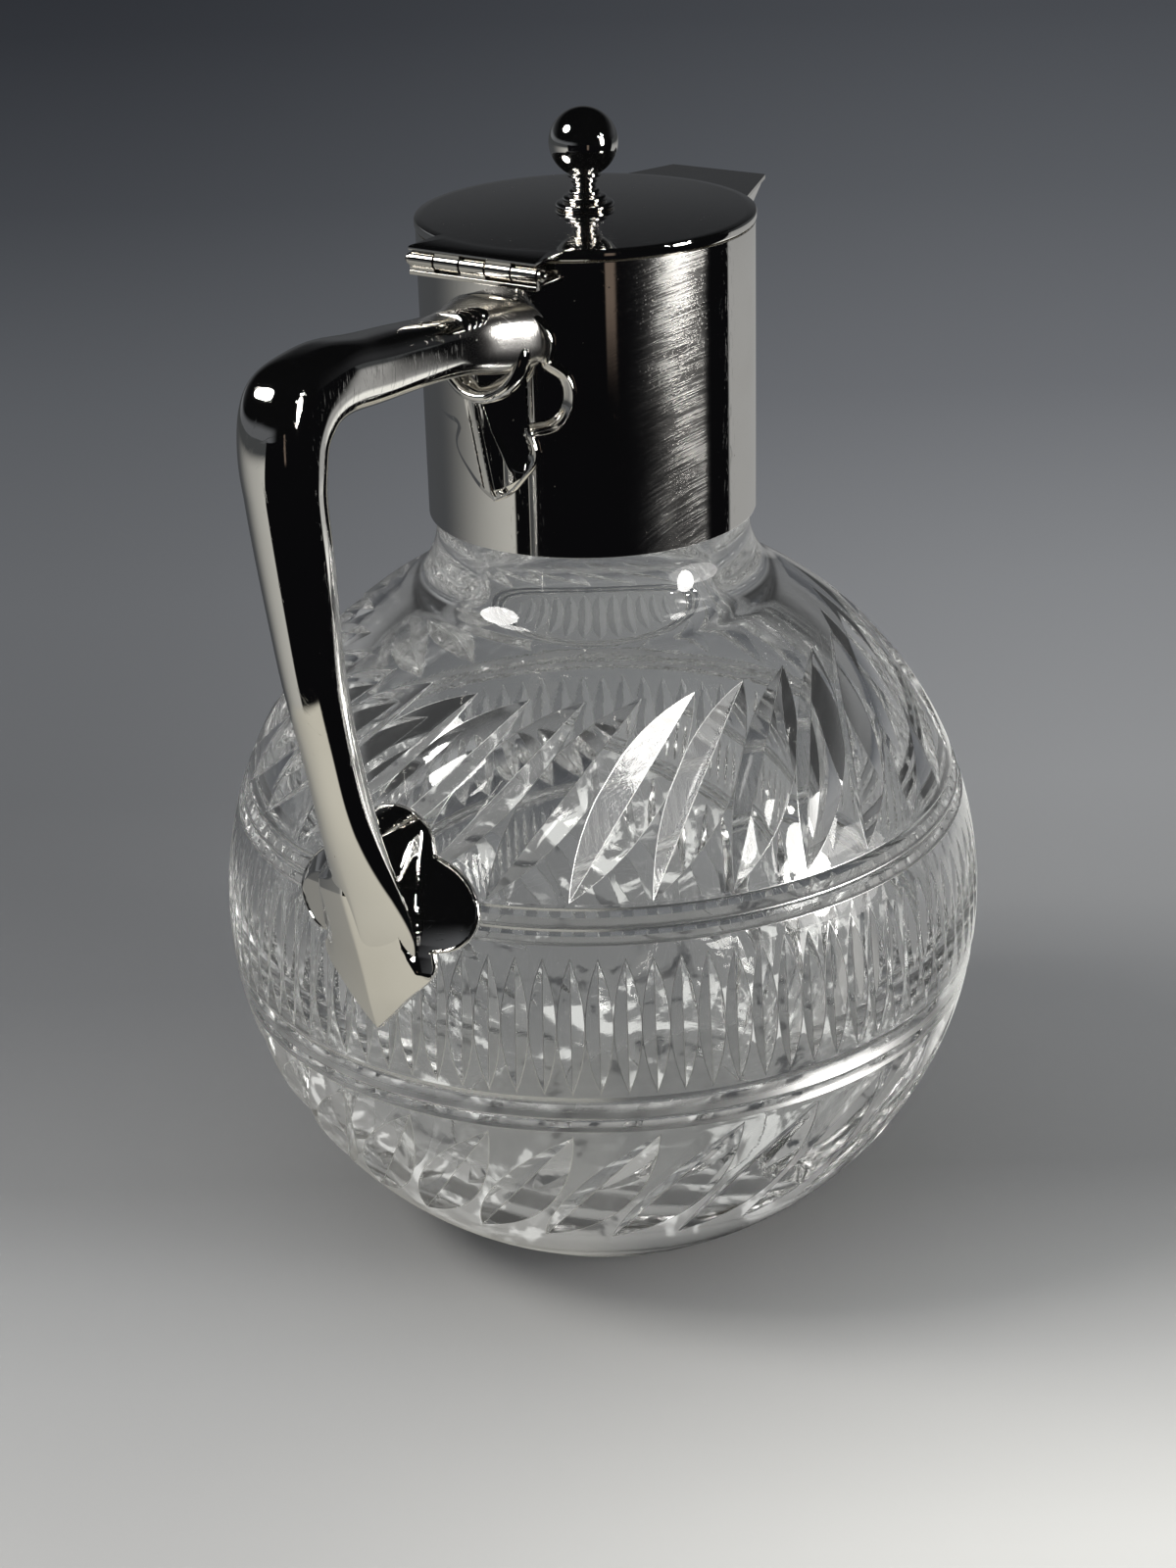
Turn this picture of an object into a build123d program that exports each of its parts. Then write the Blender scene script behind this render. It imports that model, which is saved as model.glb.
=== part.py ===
from build123d import *
import math
import os

# Frame: origin at the centre of the foot, Z up, spout towards +X, handle towards -X.
# Lengths in millimetres.

# ---------------------------------------------------------------- main sizes
GLOBE_R = 75.0            # radius of the glass globe
GLOBE_Z = 66.5            # height of the globe's centre above the foot plane
CAVITY_R = 66.5           # radius of the hollow inside the globe
CAVITY_FLOOR = 9.5        # thickness of the glass under the hollow
NECK_R = 29.8             # glass neck just below the collar
NECK_SLEEVE_R = 28.6      # glass neck where it is bedded inside the collar
NECK_BORE_R = 23.5
NECK_TOP = 178.0
SHOULDER_R = 15.0         # concave fillet from the globe to the neck

COLLAR_R = 31.1
COLLAR_WALL = 0.9
COLLAR_BOTTOM = 146.7
LID_TOP = 202.9
LID_EDGE = 1.7            # thickness of the lid at its rim
LID_GAP = 0.3             # gap between the lid and the collar's rim
COLLAR_TOP = LID_TOP - LID_EDGE - LID_GAP
LID_R = 31.3
LID_DOME = 0.6
FLANGE_R = 29.5           # locating ring under the lid

SPOUT_X = 48.5            # straight front edge of the spout
SPOUT_HALF = 10.4         # half-width of that edge
SPOUT_SPLAY = 0.34        # widening of each side per mm towards the collar
SPOUT_ROOT = 173.0        # height where the spout's front meets the collar
SPOUT_WALL = 0.9
COVER_T = 0.9
MOUTH_H = 5.5             # height of the pouring mouth under the cover

HINGE_X = -35.4
HINGE_Z = 200.35
HINGE_W = 26.8
KNUCKLE_R = 1.45
KNUCKLE_GAP = 0.3
PIN_R = 0.70
RUN_CLEAR = 0.05          # radial running clearance of the lid's knuckles on the pin
LEAF_T = 0.8              # thickness of the two hinge leaves
TAB_X = -36.6             # outer edge of both hinge leaves

BALL_R = 6.3
BALL_Z = 12.5             # height of the ball's centre above the lid
LEAF_PLATE = 1.9          # thickness of the cast leaves


def ring(r_in, r_out, z0, z1):
    """Plain tube between two radii and two heights."""
    h = z1 - z0
    return Pos(0, 0, z0 + h / 2) * (Cylinder(r_out, h) - Cylinder(r_in, h + 1))


def turned(edges):
    """Solid of revolution about Z from a closed chain of edges in the XZ plane."""
    return revolve(make_face(edges), Axis.Z)


def globe_r(z):
    """Radius of the globe's outer surface at height z."""
    return math.sqrt(GLOBE_R ** 2 - (z - GLOBE_Z) ** 2)


# ---------------------------------------------------------------- glass
# Turned grooves: (upper edge, lower edge, depth) measured from the globe's centre.
GROOVES = [(28.7, 25.5, 1.0), (25.3, 22.6, 0.9), (-6.7, -11.2, 1.1), (-11.2, -14.4, 0.9)]


def glass_outline():
    """Outside of the glass from the foot up to the neck's lip, as points and arcs."""
    foot_r = globe_r(1.2)
    edges = [Line((0, 0, 0), (foot_r - 1.6, 0, 0)),
             ThreePointArc((foot_r - 1.6, 0, 0), (foot_r - 0.55, 0, 0.35), (foot_r, 0, 1.2))]
    a0 = math.asin((1.2 - GLOBE_Z) / GLOBE_R)
    at = lambda a: (GLOBE_R * math.cos(a), 0, GLOBE_Z + GLOBE_R * math.sin(a))
    for top, low, depth in sorted(GROOVES, key=lambda g: g[1]):
        a1, a2 = math.asin(low / GLOBE_R), math.asin(top / GLOBE_R)
        if a1 - a0 > 1e-3:
            edges.append(ThreePointArc(at(a0), at((a0 + a1) / 2), at(a1)))
        else:
            a1 = a0
        am = (a1 + a2) / 2
        root = ((GLOBE_R - depth) * math.cos(am), 0, GLOBE_Z + (GLOBE_R - depth) * math.sin(am))
        edges += [Line(at(a1), root), Line(root, at(a2))]
        a0 = a2
    reach = GLOBE_R + SHOULDER_R
    cr = NECK_R + SHOULDER_R
    cz = math.sqrt(reach ** 2 - cr ** 2)
    end = math.atan2(cz, cr)
    edges.append(ThreePointArc(at(a0), at((a0 + end) / 2), at(end)))
    b0, b1 = math.pi + end, math.pi
    on = lambda b: (cr + SHOULDER_R * math.cos(b), 0, GLOBE_Z + cz + SHOULDER_R * math.sin(b))
    edges.append(ThreePointArc(at(end), on((b0 + b1) / 2), on(b1)))
    z_neck = GLOBE_Z + cz
    edges += [Line((NECK_R, 0, z_neck), (NECK_R, 0, COLLAR_BOTTOM)),
              Line((NECK_R, 0, COLLAR_BOTTOM), (NECK_SLEEVE_R, 0, COLLAR_BOTTOM + 1.6)),
              Line((NECK_SLEEVE_R, 0, COLLAR_BOTTOM + 1.6), (NECK_SLEEVE_R, 0, NECK_TOP - 1.2)),
              ThreePointArc((NECK_SLEEVE_R, 0, NECK_TOP - 1.2), (NECK_SLEEVE_R - 0.35, 0, NECK_TOP - 0.35),
                            (NECK_SLEEVE_R - 1.2, 0, NECK_TOP))]
    return edges


# Mitre cuts, each with a straight root between two points of the globe:
# (number round the globe, azimuth of the upper end, latitude of the lower end, latitude of the upper end,
#  turn from the lower to the upper end, width across the middle). Angles in degrees, width in mm.
CUTS = {
    "upper": (29, -149.9, 23.2, 51.5, 27.0, 11.5),
    "lower": (29, -152.2, -38.0, -12.2, 19.5, 11.8),
    "flute": (92, -148.0, -4.4, 15.5, 0.0, 5.2),
}


def on_globe(az, lat):
    """Point of the globe at an azimuth and a latitude in degrees, from the globe's centre."""
    a, b = math.radians(az), math.radians(lat)
    return Vector(GLOBE_R * math.cos(b) * math.cos(a), GLOBE_R * math.cos(b) * math.sin(a), GLOBE_R * math.sin(b))


def mitre(low, high, width, over=2.0):
    """Wedge left by one pass of a V-edged wheel: its root is the chord from low to high, its mouth is width wide."""
    mid, along = (low + high) * 0.5, (high - low).normalized()
    out = mid.normalized()
    side = out.cross(along).normalized()
    depth = GLOBE_R - mid.length
    spread = width / 2 * (depth + over) / depth
    tri = lambda p: [p, p + out * (depth + over) + side * spread, p + out * (depth + over) - side * spread]
    a, b = tri(low - along * 4), tri(high + along * 4)
    face = lambda *pts: Face(Wire.make_polygon(list(pts), close=True))
    return Solid(Shell([face(*a), face(*b), face(a[0], a[1], b[1], b[0]),
                        face(a[1], a[2], b[2], b[1]), face(a[2], a[0], b[0], b[2])]))


def cuts(name):
    """One row of mitre cuts, repeated evenly round the globe."""
    n, az, lat0, lat1, turn, width = CUTS[name]
    return [Pos(0, 0, GLOBE_Z) * mitre(on_globe(az - turn + 360 / n * k, lat0), on_globe(az + 360 / n * k, lat1), width)
            for k in range(n)]


def glass_body():
    """Cut globe with a bored neck; the inside is a smaller sphere with a flat floor."""
    edges = glass_outline()
    fillet = 17.0
    bore_z = GLOBE_Z + math.sqrt((CAVITY_R + 0.0) ** 2 - (NECK_BORE_R + 6.0) ** 2)
    a = math.atan2(bore_z - GLOBE_Z, NECK_BORE_R + 6.0)
    floor_r = math.sqrt(CAVITY_R ** 2 - (CAVITY_FLOOR - GLOBE_Z) ** 2)
    af = math.asin((CAVITY_FLOOR - GLOBE_Z) / CAVITY_R)
    at = lambda t: (CAVITY_R * math.cos(t), 0, GLOBE_Z + CAVITY_R * math.sin(t))
    throat = (NECK_BORE_R, 0, bore_z + fillet)
    edges += [Line((NECK_SLEEVE_R - 1.2, 0, NECK_TOP), (NECK_BORE_R + 1.2, 0, NECK_TOP)),
              ThreePointArc((NECK_BORE_R + 1.2, 0, NECK_TOP), (NECK_BORE_R + 0.35, 0, NECK_TOP - 0.35),
                            (NECK_BORE_R, 0, NECK_TOP - 1.2)),
              Line((NECK_BORE_R, 0, NECK_TOP - 1.2), throat),
              Spline([throat, at(a)], tangents=[(0, 0, -1), (math.sin(a), 0, -math.cos(a))]),
              ThreePointArc(at(a), at((a + af) / 2), at(af)),
              Line(at(af), (0, 0, CAVITY_FLOOR)),
              Line((0, 0, CAVITY_FLOOR), (0, 0, 0))]
    blank = turned(edges)
    return blank.cut(*cuts("upper")).cut(*cuts("lower")).cut(*cuts("flute"))


def bedding_ring():
    """Plaster that beds the glass neck in the collar."""
    return ring(NECK_SLEEVE_R, COLLAR_R - COLLAR_WALL, COLLAR_BOTTOM + 2.2, NECK_TOP - 2.0)


# ---------------------------------------------------------------- collar and spout
def wedge(front, half, root_x, root_half, z_top, z_root):
    """Spout block: straight front edge on top, splayed sides, front sloping back to the collar."""
    back = 20.0
    side = half + SPOUT_SPLAY * (front - back)
    f = [Vector(front, s * half, z_top) for s in (1, -1)]
    b = [Vector(back, s * side, z_top) for s in (1, -1)]
    r = [Vector(root_x, s * root_half, z_root) for s in (1, -1)]
    k = [Vector(back, s * root_half, z_root) for s in (1, -1)]
    poly = lambda *p: Face(Wire.make_polygon(list(p), close=True))
    faces = [poly(f[0], f[1], b[1], b[0]), poly(f[0], r[0], r[1], f[1]),
             poly(r[0], k[0], k[1], r[1]), poly(b[0], b[1], k[1], k[0])]
    for s in (0, 1):
        faces += [poly(f[s], b[s], r[s]), poly(b[s], k[s], r[s])]
    return Solid(Shell(faces))


def spout_block(inset=0.0):
    t = inset
    return wedge(SPOUT_X - 1.35 * t, SPOUT_HALF - 1.05 * t, COLLAR_R + 0.4 - 1.35 * t, 4.6 - 0.7 * t,
                 COLLAR_TOP, SPOUT_ROOT + 1.6 * t)


def spout_window():
    """Opening in the collar behind the spout, a little smaller than the spout's hollow."""
    return Pos(COLLAR_R, 0, (SPOUT_ROOT + 9.0 + COLLAR_TOP - 3.6) / 2) * Box(
        16, 17.0, COLLAR_TOP - 3.6 - SPOUT_ROOT - 9.0)


def collar():
    body = ring(COLLAR_R - COLLAR_WALL, COLLAR_R, COLLAR_BOTTOM, COLLAR_TOP)
    return body - spout_window()


def spout_shell():
    core = Pos(0, 0, 180) * Cylinder(COLLAR_R, 80)
    cover_z = COLLAR_TOP - COVER_T
    body = spout_block() - core
    body -= spout_block(SPOUT_WALL)
    body -= Pos(40, 0, cover_z + 5) * Box(60, 60, 10)
    # the mouth: the front wall stops short of the cover
    body -= Pos(SPOUT_X, 0, cover_z - MOUTH_H / 2) * Box(14, 2 * (SPOUT_HALF - SPOUT_WALL * 1.05), MOUTH_H)
    return body


def spout_cover():
    z = COLLAR_TOP - COVER_T
    front, half = SPOUT_X, SPOUT_HALF
    side = half + SPOUT_SPLAY * (front - 20.0)
    plate = extrude(Pos(0, 0, z) * make_face(Polyline((20, side), (front, half), (front, -half), (20, -side), (20, side))), COVER_T)
    return plate - Pos(0, 0, z) * Cylinder(COLLAR_R, 10)


# ---------------------------------------------------------------- lid
def lid():
    """Flat disc, very slightly domed, with the square hinge tab in one piece."""
    z0, z1 = LID_TOP - LID_EDGE, LID_TOP
    edge = 0.35
    prof = [Line((0, 0, z0), (LID_R - edge, 0, z0)),
            ThreePointArc((LID_R - edge, 0, z0), (LID_R - 0.1, 0, z0 + 0.1), (LID_R, 0, z0 + edge)),
            Line((LID_R, 0, z0 + edge), (LID_R, 0, z1 - edge)),
            ThreePointArc((LID_R, 0, z1 - edge), (LID_R - 0.1, 0, z1 - 0.1), (LID_R - edge, 0, z1)),
            ThreePointArc((LID_R - edge, 0, z1), ((LID_R - edge) / 2, 0, z1 + 0.75 * LID_DOME), (0, 0, z1 + LID_DOME)),
            Line((0, 0, z1 + LID_DOME), (0, 0, z0))]
    disc = turned(prof)
    tab_in = -math.sqrt(LID_R ** 2 - (HINGE_W / 2) ** 2) + 3.0
    tab = Pos((TAB_X + tab_in) / 2, 0, LID_TOP - LEAF_T / 2) * Box(tab_in - TAB_X, HINGE_W, LEAF_T)
    disc += tab
    return disc - Pos(0, 0, LID_TOP) * Cylinder(2.05, 10)


def lid_flange():
    return ring(FLANGE_R - 0.9, FLANGE_R, LID_TOP - LID_EDGE - 3.4, LID_TOP - LID_EDGE)


def bead(r, z, h):
    """Half-round bead between z and z + h standing on radius r."""
    return ThreePointArc((r, 0, z), (r + 0.42 * h, 0, z + h / 2), (r, 0, z + h))


def finial():
    """Ball on a ringed stem, with the screwed stud that passes through the lid."""
    z = LID_TOP + LID_DOME
    c = LID_TOP + BALL_Z
    neck_z = LID_TOP + 6.55
    neck_r = math.sqrt(BALL_R ** 2 - (c - neck_z) ** 2)
    e = [Line((0, 0, z - 4.6), (2.0, 0, z - 4.6)), Line((2.0, 0, z - 4.6), (2.0, 0, z)),
         Line((2.0, 0, z), (5.3, 0, z)), bead(5.3, z, 0.75)]
    p = z + 0.75
    e += [Line((5.3, 0, p), (4.7, 0, p + 0.1)), bead(4.7, p + 0.1, 0.7)]
    p += 0.8
    e += [Line((4.7, 0, p), (4.0, 0, p + 0.1)), bead(4.0, p + 0.1, 0.6)]
    p += 0.7
    e += [Line((4.0, 0, p), (3.2, 0, p + 0.15)), bead(3.2, p + 0.15, 0.6)]
    p += 0.75
    step = (neck_z - p) / 3
    rr = [2.6, 2.1, 2.1]
    last = 3.2
    for r in rr:
        e += [Line((last, 0, p), (r, 0, p + 0.12)), bead(r, p + 0.12, step - 0.12)]
        last = r
        p += step
    e += [Line((last, 0, p), (neck_r, 0, neck_z)) if abs(last - neck_r) > 1e-6 or abs(p - neck_z) > 1e-6 else None]
    e = [x for x in e if x is not None]
    e += [ThreePointArc((neck_r, 0, neck_z), (BALL_R, 0, c), (0, 0, c + BALL_R)), Line((0, 0, c + BALL_R), (0, 0, z - 4.6))]
    return turned(e)


def finial_nut():
    z1 = LID_TOP - LID_EDGE
    nut = extrude(Pos(0, 0, z1 - 2.4) * RegularPolygon(4.2, 6), 2.4)
    return nut - Pos(0, 0, z1) * Cylinder(2.0, 12)


# ---------------------------------------------------------------- hinge
def knuckles(indices, bore, z_leaf):
    """Hinge tubes at the given places along the pin, each with a web to its leaf."""
    step = (HINGE_W - 4 * KNUCKLE_GAP) / 5
    out = None
    for i in indices:
        y = -HINGE_W / 2 + step / 2 + i * (step + KNUCKLE_GAP)
        tube = Pos(HINGE_X, y, HINGE_Z) * Rot(90, 0, 0) * Cylinder(KNUCKLE_R, step)
        z0, z1 = sorted((HINGE_Z, z_leaf))
        tube += Pos(HINGE_X, y, (z0 + z1) / 2) * Box(1.7, step, z1 - z0)
        tube -= Pos(HINGE_X, y, HINGE_Z) * Rot(90, 0, 0) * Cylinder(bore, step + 1)
        out = tube if out is None else out + tube
    return out


def lid_knuckles():
    return knuckles((1, 3), PIN_R + RUN_CLEAR, LID_TOP - LEAF_T)


BRACKET_TOP = HINGE_Z - KNUCKLE_R - 0.3


def collar_knuckles():
    return knuckles((0, 2, 4), PIN_R, BRACKET_TOP)


def hinge_bracket():
    """Lower leaf: plate standing out from the collar, with a small strap down the wall."""
    inner = -24.0
    plate = Pos((TAB_X + inner) / 2, 0, BRACKET_TOP - LEAF_T / 2) * Box(inner - TAB_X, HINGE_W, LEAF_T)
    return plate - Pos(0, 0, BRACKET_TOP) * Cylinder(COLLAR_R, 20)


def hinge_pin():
    length = HINGE_W + 0.6
    pin = Pos(HINGE_X, 0, HINGE_Z) * Rot(90, 0, 0) * Cylinder(PIN_R, length)
    for s in (1, -1):
        pin += Pos(HINGE_X, s * (HINGE_W / 2 + 0.3), HINGE_Z) * Rot(90, 0, 0) * Cylinder(1.05, 0.6)
        pin += Pos(HINGE_X, s * (HINGE_W / 2 + 0.6), HINGE_Z) * Sphere(0.85)
    return pin


# ---------------------------------------------------------------- handle
# Stations along the handle: distance from the axis, height, direction of travel in degrees
# (0 = away from the axis, -90 = down), half-width across, half-depth in the handle's plane.
HANDLE_STATIONS = [
    (26.3, 187.7, 4, 10.6, 6.4), (31.7, 187.7, 4, 10.1, 6.5), (36.1, 188.0, 5, 8.3, 6.3), (41.0, 188.5, 5, 6.4, 5.7),
    (48.8, 189.2, 5, 5.6, 5.3), (60.6, 190.2, 5, 5.6, 5.6), (71.0, 191.0, 4, 5.8, 5.9),
    (79.2, 191.6, -4, 6.1, 6.3), (85.0, 190.6, -22, 6.3, 7.1), (88.6, 188.9, -45, 6.4, 8.1),
    (90.6, 185.4, -68, 6.4, 7.5), (91.3, 180.0, -84, 6.4, 7.1), (91.2, 174.7, -92, 6.3, 6.7), (90.2, 165.4, -95, 6.1, 6.4),
    (88.6, 151.5, -97, 5.6, 5.8), (87.0, 140.0, -98, 5.2, 5.3), (84.3, 127.3, -101, 4.9, 4.9),
    (82.3, 118.5, -103, 5.0, 4.9), (80.3, 110.4, -104, 5.6, 4.8), (77.9, 101.9, -105, 6.9, 4.7),
    (75.9, 94.4, -103, 8.4, 4.7), (74.6, 86.9, -100, 8.9, 4.5), (73.7, 78.9, -94, 7.0, 3.8),
    (73.5, 73.3, -90, 3.6, 3.2), (73.5, 69.6, -90, 1.1, 2.6)]


def section(r, z, ang, hw, hd, power=2.6):
    """Rounded-square section square to the handle's path, drawn as a smooth closed curve."""
    a = math.radians(ang)
    n = (-math.sin(a), math.cos(a))
    pts = []
    for i in range(24):
        t = 2 * math.pi * i / 24
        c, s = math.cos(t), math.sin(t)
        u = math.copysign(abs(c) ** (2 / power), c) * hw
        v = math.copysign(abs(s) ** (2 / power), s) * hd
        pts.append((-(r + n[0] * v), u, z + n[1] * v))
    return Face(Wire([Spline(pts, periodic=True)]))


def handle():
    """Arm, elbow and grip in one cast bar; the lower end thins out into the leaf's rib."""
    bar = loft([section(*s) for s in HANDLE_STATIONS])
    bar -= Pos(0, 0, 180) * Cylinder(COLLAR_R + LEAF_PLATE, 70)
    bar -= Pos(0, 0, GLOBE_Z) * Sphere(GLOBE_R + LEAF_PLATE)
    return bar


def leaf_face(half):
    """Closed leaf outline from its right half, given as runs of points joined at cusps."""
    edges = []
    for run in half:
        edges.append(Spline([(x, y) for x, y in run]) if len(run) > 2 else Line(*run))
        edges.append(Spline([(-x, y) for x, y in run]) if len(run) > 2 else Line(*[(-x, y) for x, y in run]))
    return make_face(edges)


# (across, up) from the tip of each leaf
UPPER_LEAF = [[(0, 0), (3.0, 1.8), (5.8, 4.8), (8.9, 10.2), (8.2, 13.2)],
              [(8.2, 13.2), (12.2, 14.5), (15.0, 18.0), (15.6, 21.8), (14.4, 25.2), (11.6, 27.2)],
              [(11.6, 27.2), (12.2, 30.6), (10.4, 34.4), (6.2, 37.2), (0, 38.2)]]
LOWER_LEAF = [[(0, 0), (3.8, 3.5), (8.4, 8.2), (12.2, 13.0), (11.8, 15.9)],
              [(11.8, 15.9), (16.0, 17.2), (18.9, 20.4), (19.7, 23.8), (18.4, 27.6), (15.2, 31.0), (9.8, 33.4)],
              [(9.8, 33.4), (8.4, 36.6), (6.2, 39.0), (3.2, 40.5), (0, 41.0)]]
# hollows pressed into each half of the upper leaf: (across, up, footprint radius, depth)
UPPER_HOLLOWS = [(9.6, 20.2, 4.6, 1.0), (4.6, 9.4, 3.0, 0.8)]
UPPER_TIP_Z = LID_TOP - 46.5
LOWER_TIP_LAT = 2.2       # latitude of the lower leaf's tip on the globe, degrees
LOWER_TURN = 3.5          # the lower leaf stands a little askew on the globe, degrees
LOWER_MID = 21.0          # distance up the leaf where its own plane touches the globe


def upper_leaf():
    face = leaf_face(UPPER_LEAF)
    plane = Plane(origin=(-20, 0, UPPER_TIP_Z), x_dir=(0, -1, 0), z_dir=(-1, 0, 0))
    blank = extrude(plane * face, 30)
    shell = ring(COLLAR_R, COLLAR_R + LEAF_PLATE, UPPER_TIP_Z - 5, LID_TOP)
    leaf = blank & shell
    for across, up, foot, depth in UPPER_HOLLOWS:
        ball = (foot ** 2 + depth ** 2) / (2 * depth)
        reach = COLLAR_R + LEAF_PLATE - depth + ball
        for s in (1, -1):
            a = math.pi + s * across / COLLAR_R
            leaf -= Pos(reach * math.cos(a), reach * math.sin(a), UPPER_TIP_Z + up) * Sphere(ball)
    return leaf


def leaf_plane():
    lat = math.radians(LOWER_TIP_LAT) + LOWER_MID / GLOBE_R
    n = Vector(-math.cos(lat), 0, math.sin(lat))
    up = Vector(math.sin(lat), 0, math.cos(lat))
    base = Vector(0, 0, GLOBE_Z) + n * (GLOBE_R - 12) - up * LOWER_MID
    return Plane(origin=base, x_dir=(0, -1, 0), z_dir=n)


def lower_outline():
    """The leaf's outline turned about its tip."""
    return Rot(0, 0, LOWER_TURN) * leaf_face(LOWER_LEAF)


def lower_leaf():
    blank = extrude(leaf_plane() * lower_outline(), 24)
    shell = Pos(0, 0, GLOBE_Z) * (Sphere(GLOBE_R + LEAF_PLATE) - Sphere(GLOBE_R))
    return blank & shell


def root_scroll(bar):
    """U-shaped moulding that hangs under the root of the arm."""
    path = Spline([(-33.2, -8.3, 186.2), (-34.2, -7.9, 182.8), (-35.0, -5.9, 179.6), (-35.6, -3.0, 177.7),
                   (-35.8, 0, 177.1), (-35.6, 3.0, 177.7), (-35.0, 5.9, 179.6), (-34.2, 7.9, 182.8), (-33.2, 8.3, 186.2)])
    start = Plane(origin=path @ 0, x_dir=(1, 0, 0), z_dir=path % 0)
    loop = sweep(start * Ellipse(2.0, 1.15), path=path, is_frenet=False)
    return loop - bar - Pos(0, 0, 180) * Cylinder(COLLAR_R + LEAF_PLATE, 70)


def arm_shell(bar):
    """Small fan of three ribs on top of the arm near its root."""
    fan = Pos(-37.0, 0, 194.0) * Sphere(1.5)
    for a in (-24, 0, 24):
        rib = Pos(-5.0, 0, 0) * scale(Sphere(1.0), by=(5.6, 1.25, 1.5))
        fan += Pos(-37.0, 0, 194.1) * Rot(0, -2, a) * rib
    return fan - bar


def collect():
    bar = handle()
    return {
        "glass_body": glass_body(), "bedding_ring": bedding_ring(), "collar": collar(),
        "spout_shell": spout_shell(), "spout_cover": spout_cover(), "lid": lid(), "lid_flange": lid_flange(),
        "finial": finial(), "finial_nut": finial_nut(), "lid_knuckles": lid_knuckles(),
        "hinge_bracket": hinge_bracket(), "collar_knuckles": collar_knuckles(), "hinge_pin": hinge_pin(),
        "handle": bar, "upper_leaf": upper_leaf(), "lower_leaf": lower_leaf(),
        "root_scroll": root_scroll(bar), "arm_shell": arm_shell(bar),
    }


def main():
    os.makedirs("parts", exist_ok=True)
    for name, solid in collect().items():
        export_step(solid, f"parts/{name}.step")
        print(name, round(solid.volume, 1), "mm3", len(solid.solids()), "solid", solid.is_valid)


main()
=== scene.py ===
# %% [markdown]
# # A claret jug in cut crystal and silver
# The jug is a blown crystal globe, cut all round with an abrasive wheel, and a silver mount bedded
# on its neck. The measured model of it comes first: every silver and glass part sits where that
# model says. Each later cell then gives one part its true surface or its finish.

# %% Load the measured model
import math

import bmesh
import bpy
import numpy as np
from mathutils import Matrix, Vector


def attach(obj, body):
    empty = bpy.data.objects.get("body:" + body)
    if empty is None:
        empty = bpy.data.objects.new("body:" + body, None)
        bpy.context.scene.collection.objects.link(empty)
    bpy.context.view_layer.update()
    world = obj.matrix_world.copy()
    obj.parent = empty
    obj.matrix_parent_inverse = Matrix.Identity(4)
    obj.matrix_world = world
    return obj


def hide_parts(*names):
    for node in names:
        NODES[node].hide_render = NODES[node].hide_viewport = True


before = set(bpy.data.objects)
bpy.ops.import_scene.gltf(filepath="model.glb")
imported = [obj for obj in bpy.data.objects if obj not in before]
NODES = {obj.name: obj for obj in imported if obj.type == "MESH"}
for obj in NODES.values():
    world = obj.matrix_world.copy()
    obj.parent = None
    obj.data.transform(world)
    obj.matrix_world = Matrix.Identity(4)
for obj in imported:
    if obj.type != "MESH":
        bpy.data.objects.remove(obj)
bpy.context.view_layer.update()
MM = 0.001

# %% [markdown]
# ## The camera
# A jug is usually looked at from above the lid, so the lens stands a little over half a metre away
# and looks down. A camera could be aimed by a Track To constraint, but that leaves its roll to
# chance. Here its place and its line of sight are given, and a small roll is a turn about that
# line.

# %% Camera
LENS_AT = np.array((-0.43347, -0.28150, 0.32232))
SIGHT = np.array((0.76147, 0.49961, -0.41297))
ROLL = -0.0284
LENS_MM, SENSOR_MM = 65.44, 36.0
CLIP_NEAR, CLIP_FAR = 0.01, 50.0


def unit(v):
    """v / |v| along the last axis."""
    return v / np.linalg.norm(v, axis=-1, keepdims=True)


def camera():
    """Camera axes: level right = sight x Z, up = right x sight, both turned by the roll."""
    sight = unit(SIGHT)
    right = unit(np.cross(sight, (0, 0, 1)))
    up = np.cross(right, sight)
    across = math.cos(ROLL) * right + math.sin(ROLL) * up
    above = -math.sin(ROLL) * right + math.cos(ROLL) * up
    data = bpy.data.cameras.new("camera")
    data.lens, data.sensor_width, data.sensor_fit = LENS_MM, SENSOR_MM, "AUTO"
    data.clip_start, data.clip_end = CLIP_NEAR, CLIP_FAR
    obj = bpy.data.objects.new("camera", data)
    turn = Matrix([list(row) for row in np.stack([across, above, -sight], axis=1)]).to_4x4()
    obj.matrix_world = Matrix.Translation(Vector(LENS_AT)) @ turn
    bpy.context.scene.collection.objects.link(obj)
    bpy.context.scene.camera = obj


camera()
bpy.context.scene.view_settings.view_transform = "Standard"
print("camera at", LENS_AT.tolist(), "m, lens", LENS_MM, "mm")

# %% [markdown]
# ## Shader sums in plain Python
# A finish is mostly arithmetic on patterns. It could be wired by hand in the node editor, but a
# written sum is easier to read and to use again. `Val` wraps one socket, so that `1 - mask` or
# `grain * 0.3` adds its Math nodes by itself, and `Finish` is the bench that the nodes stand on.


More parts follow.
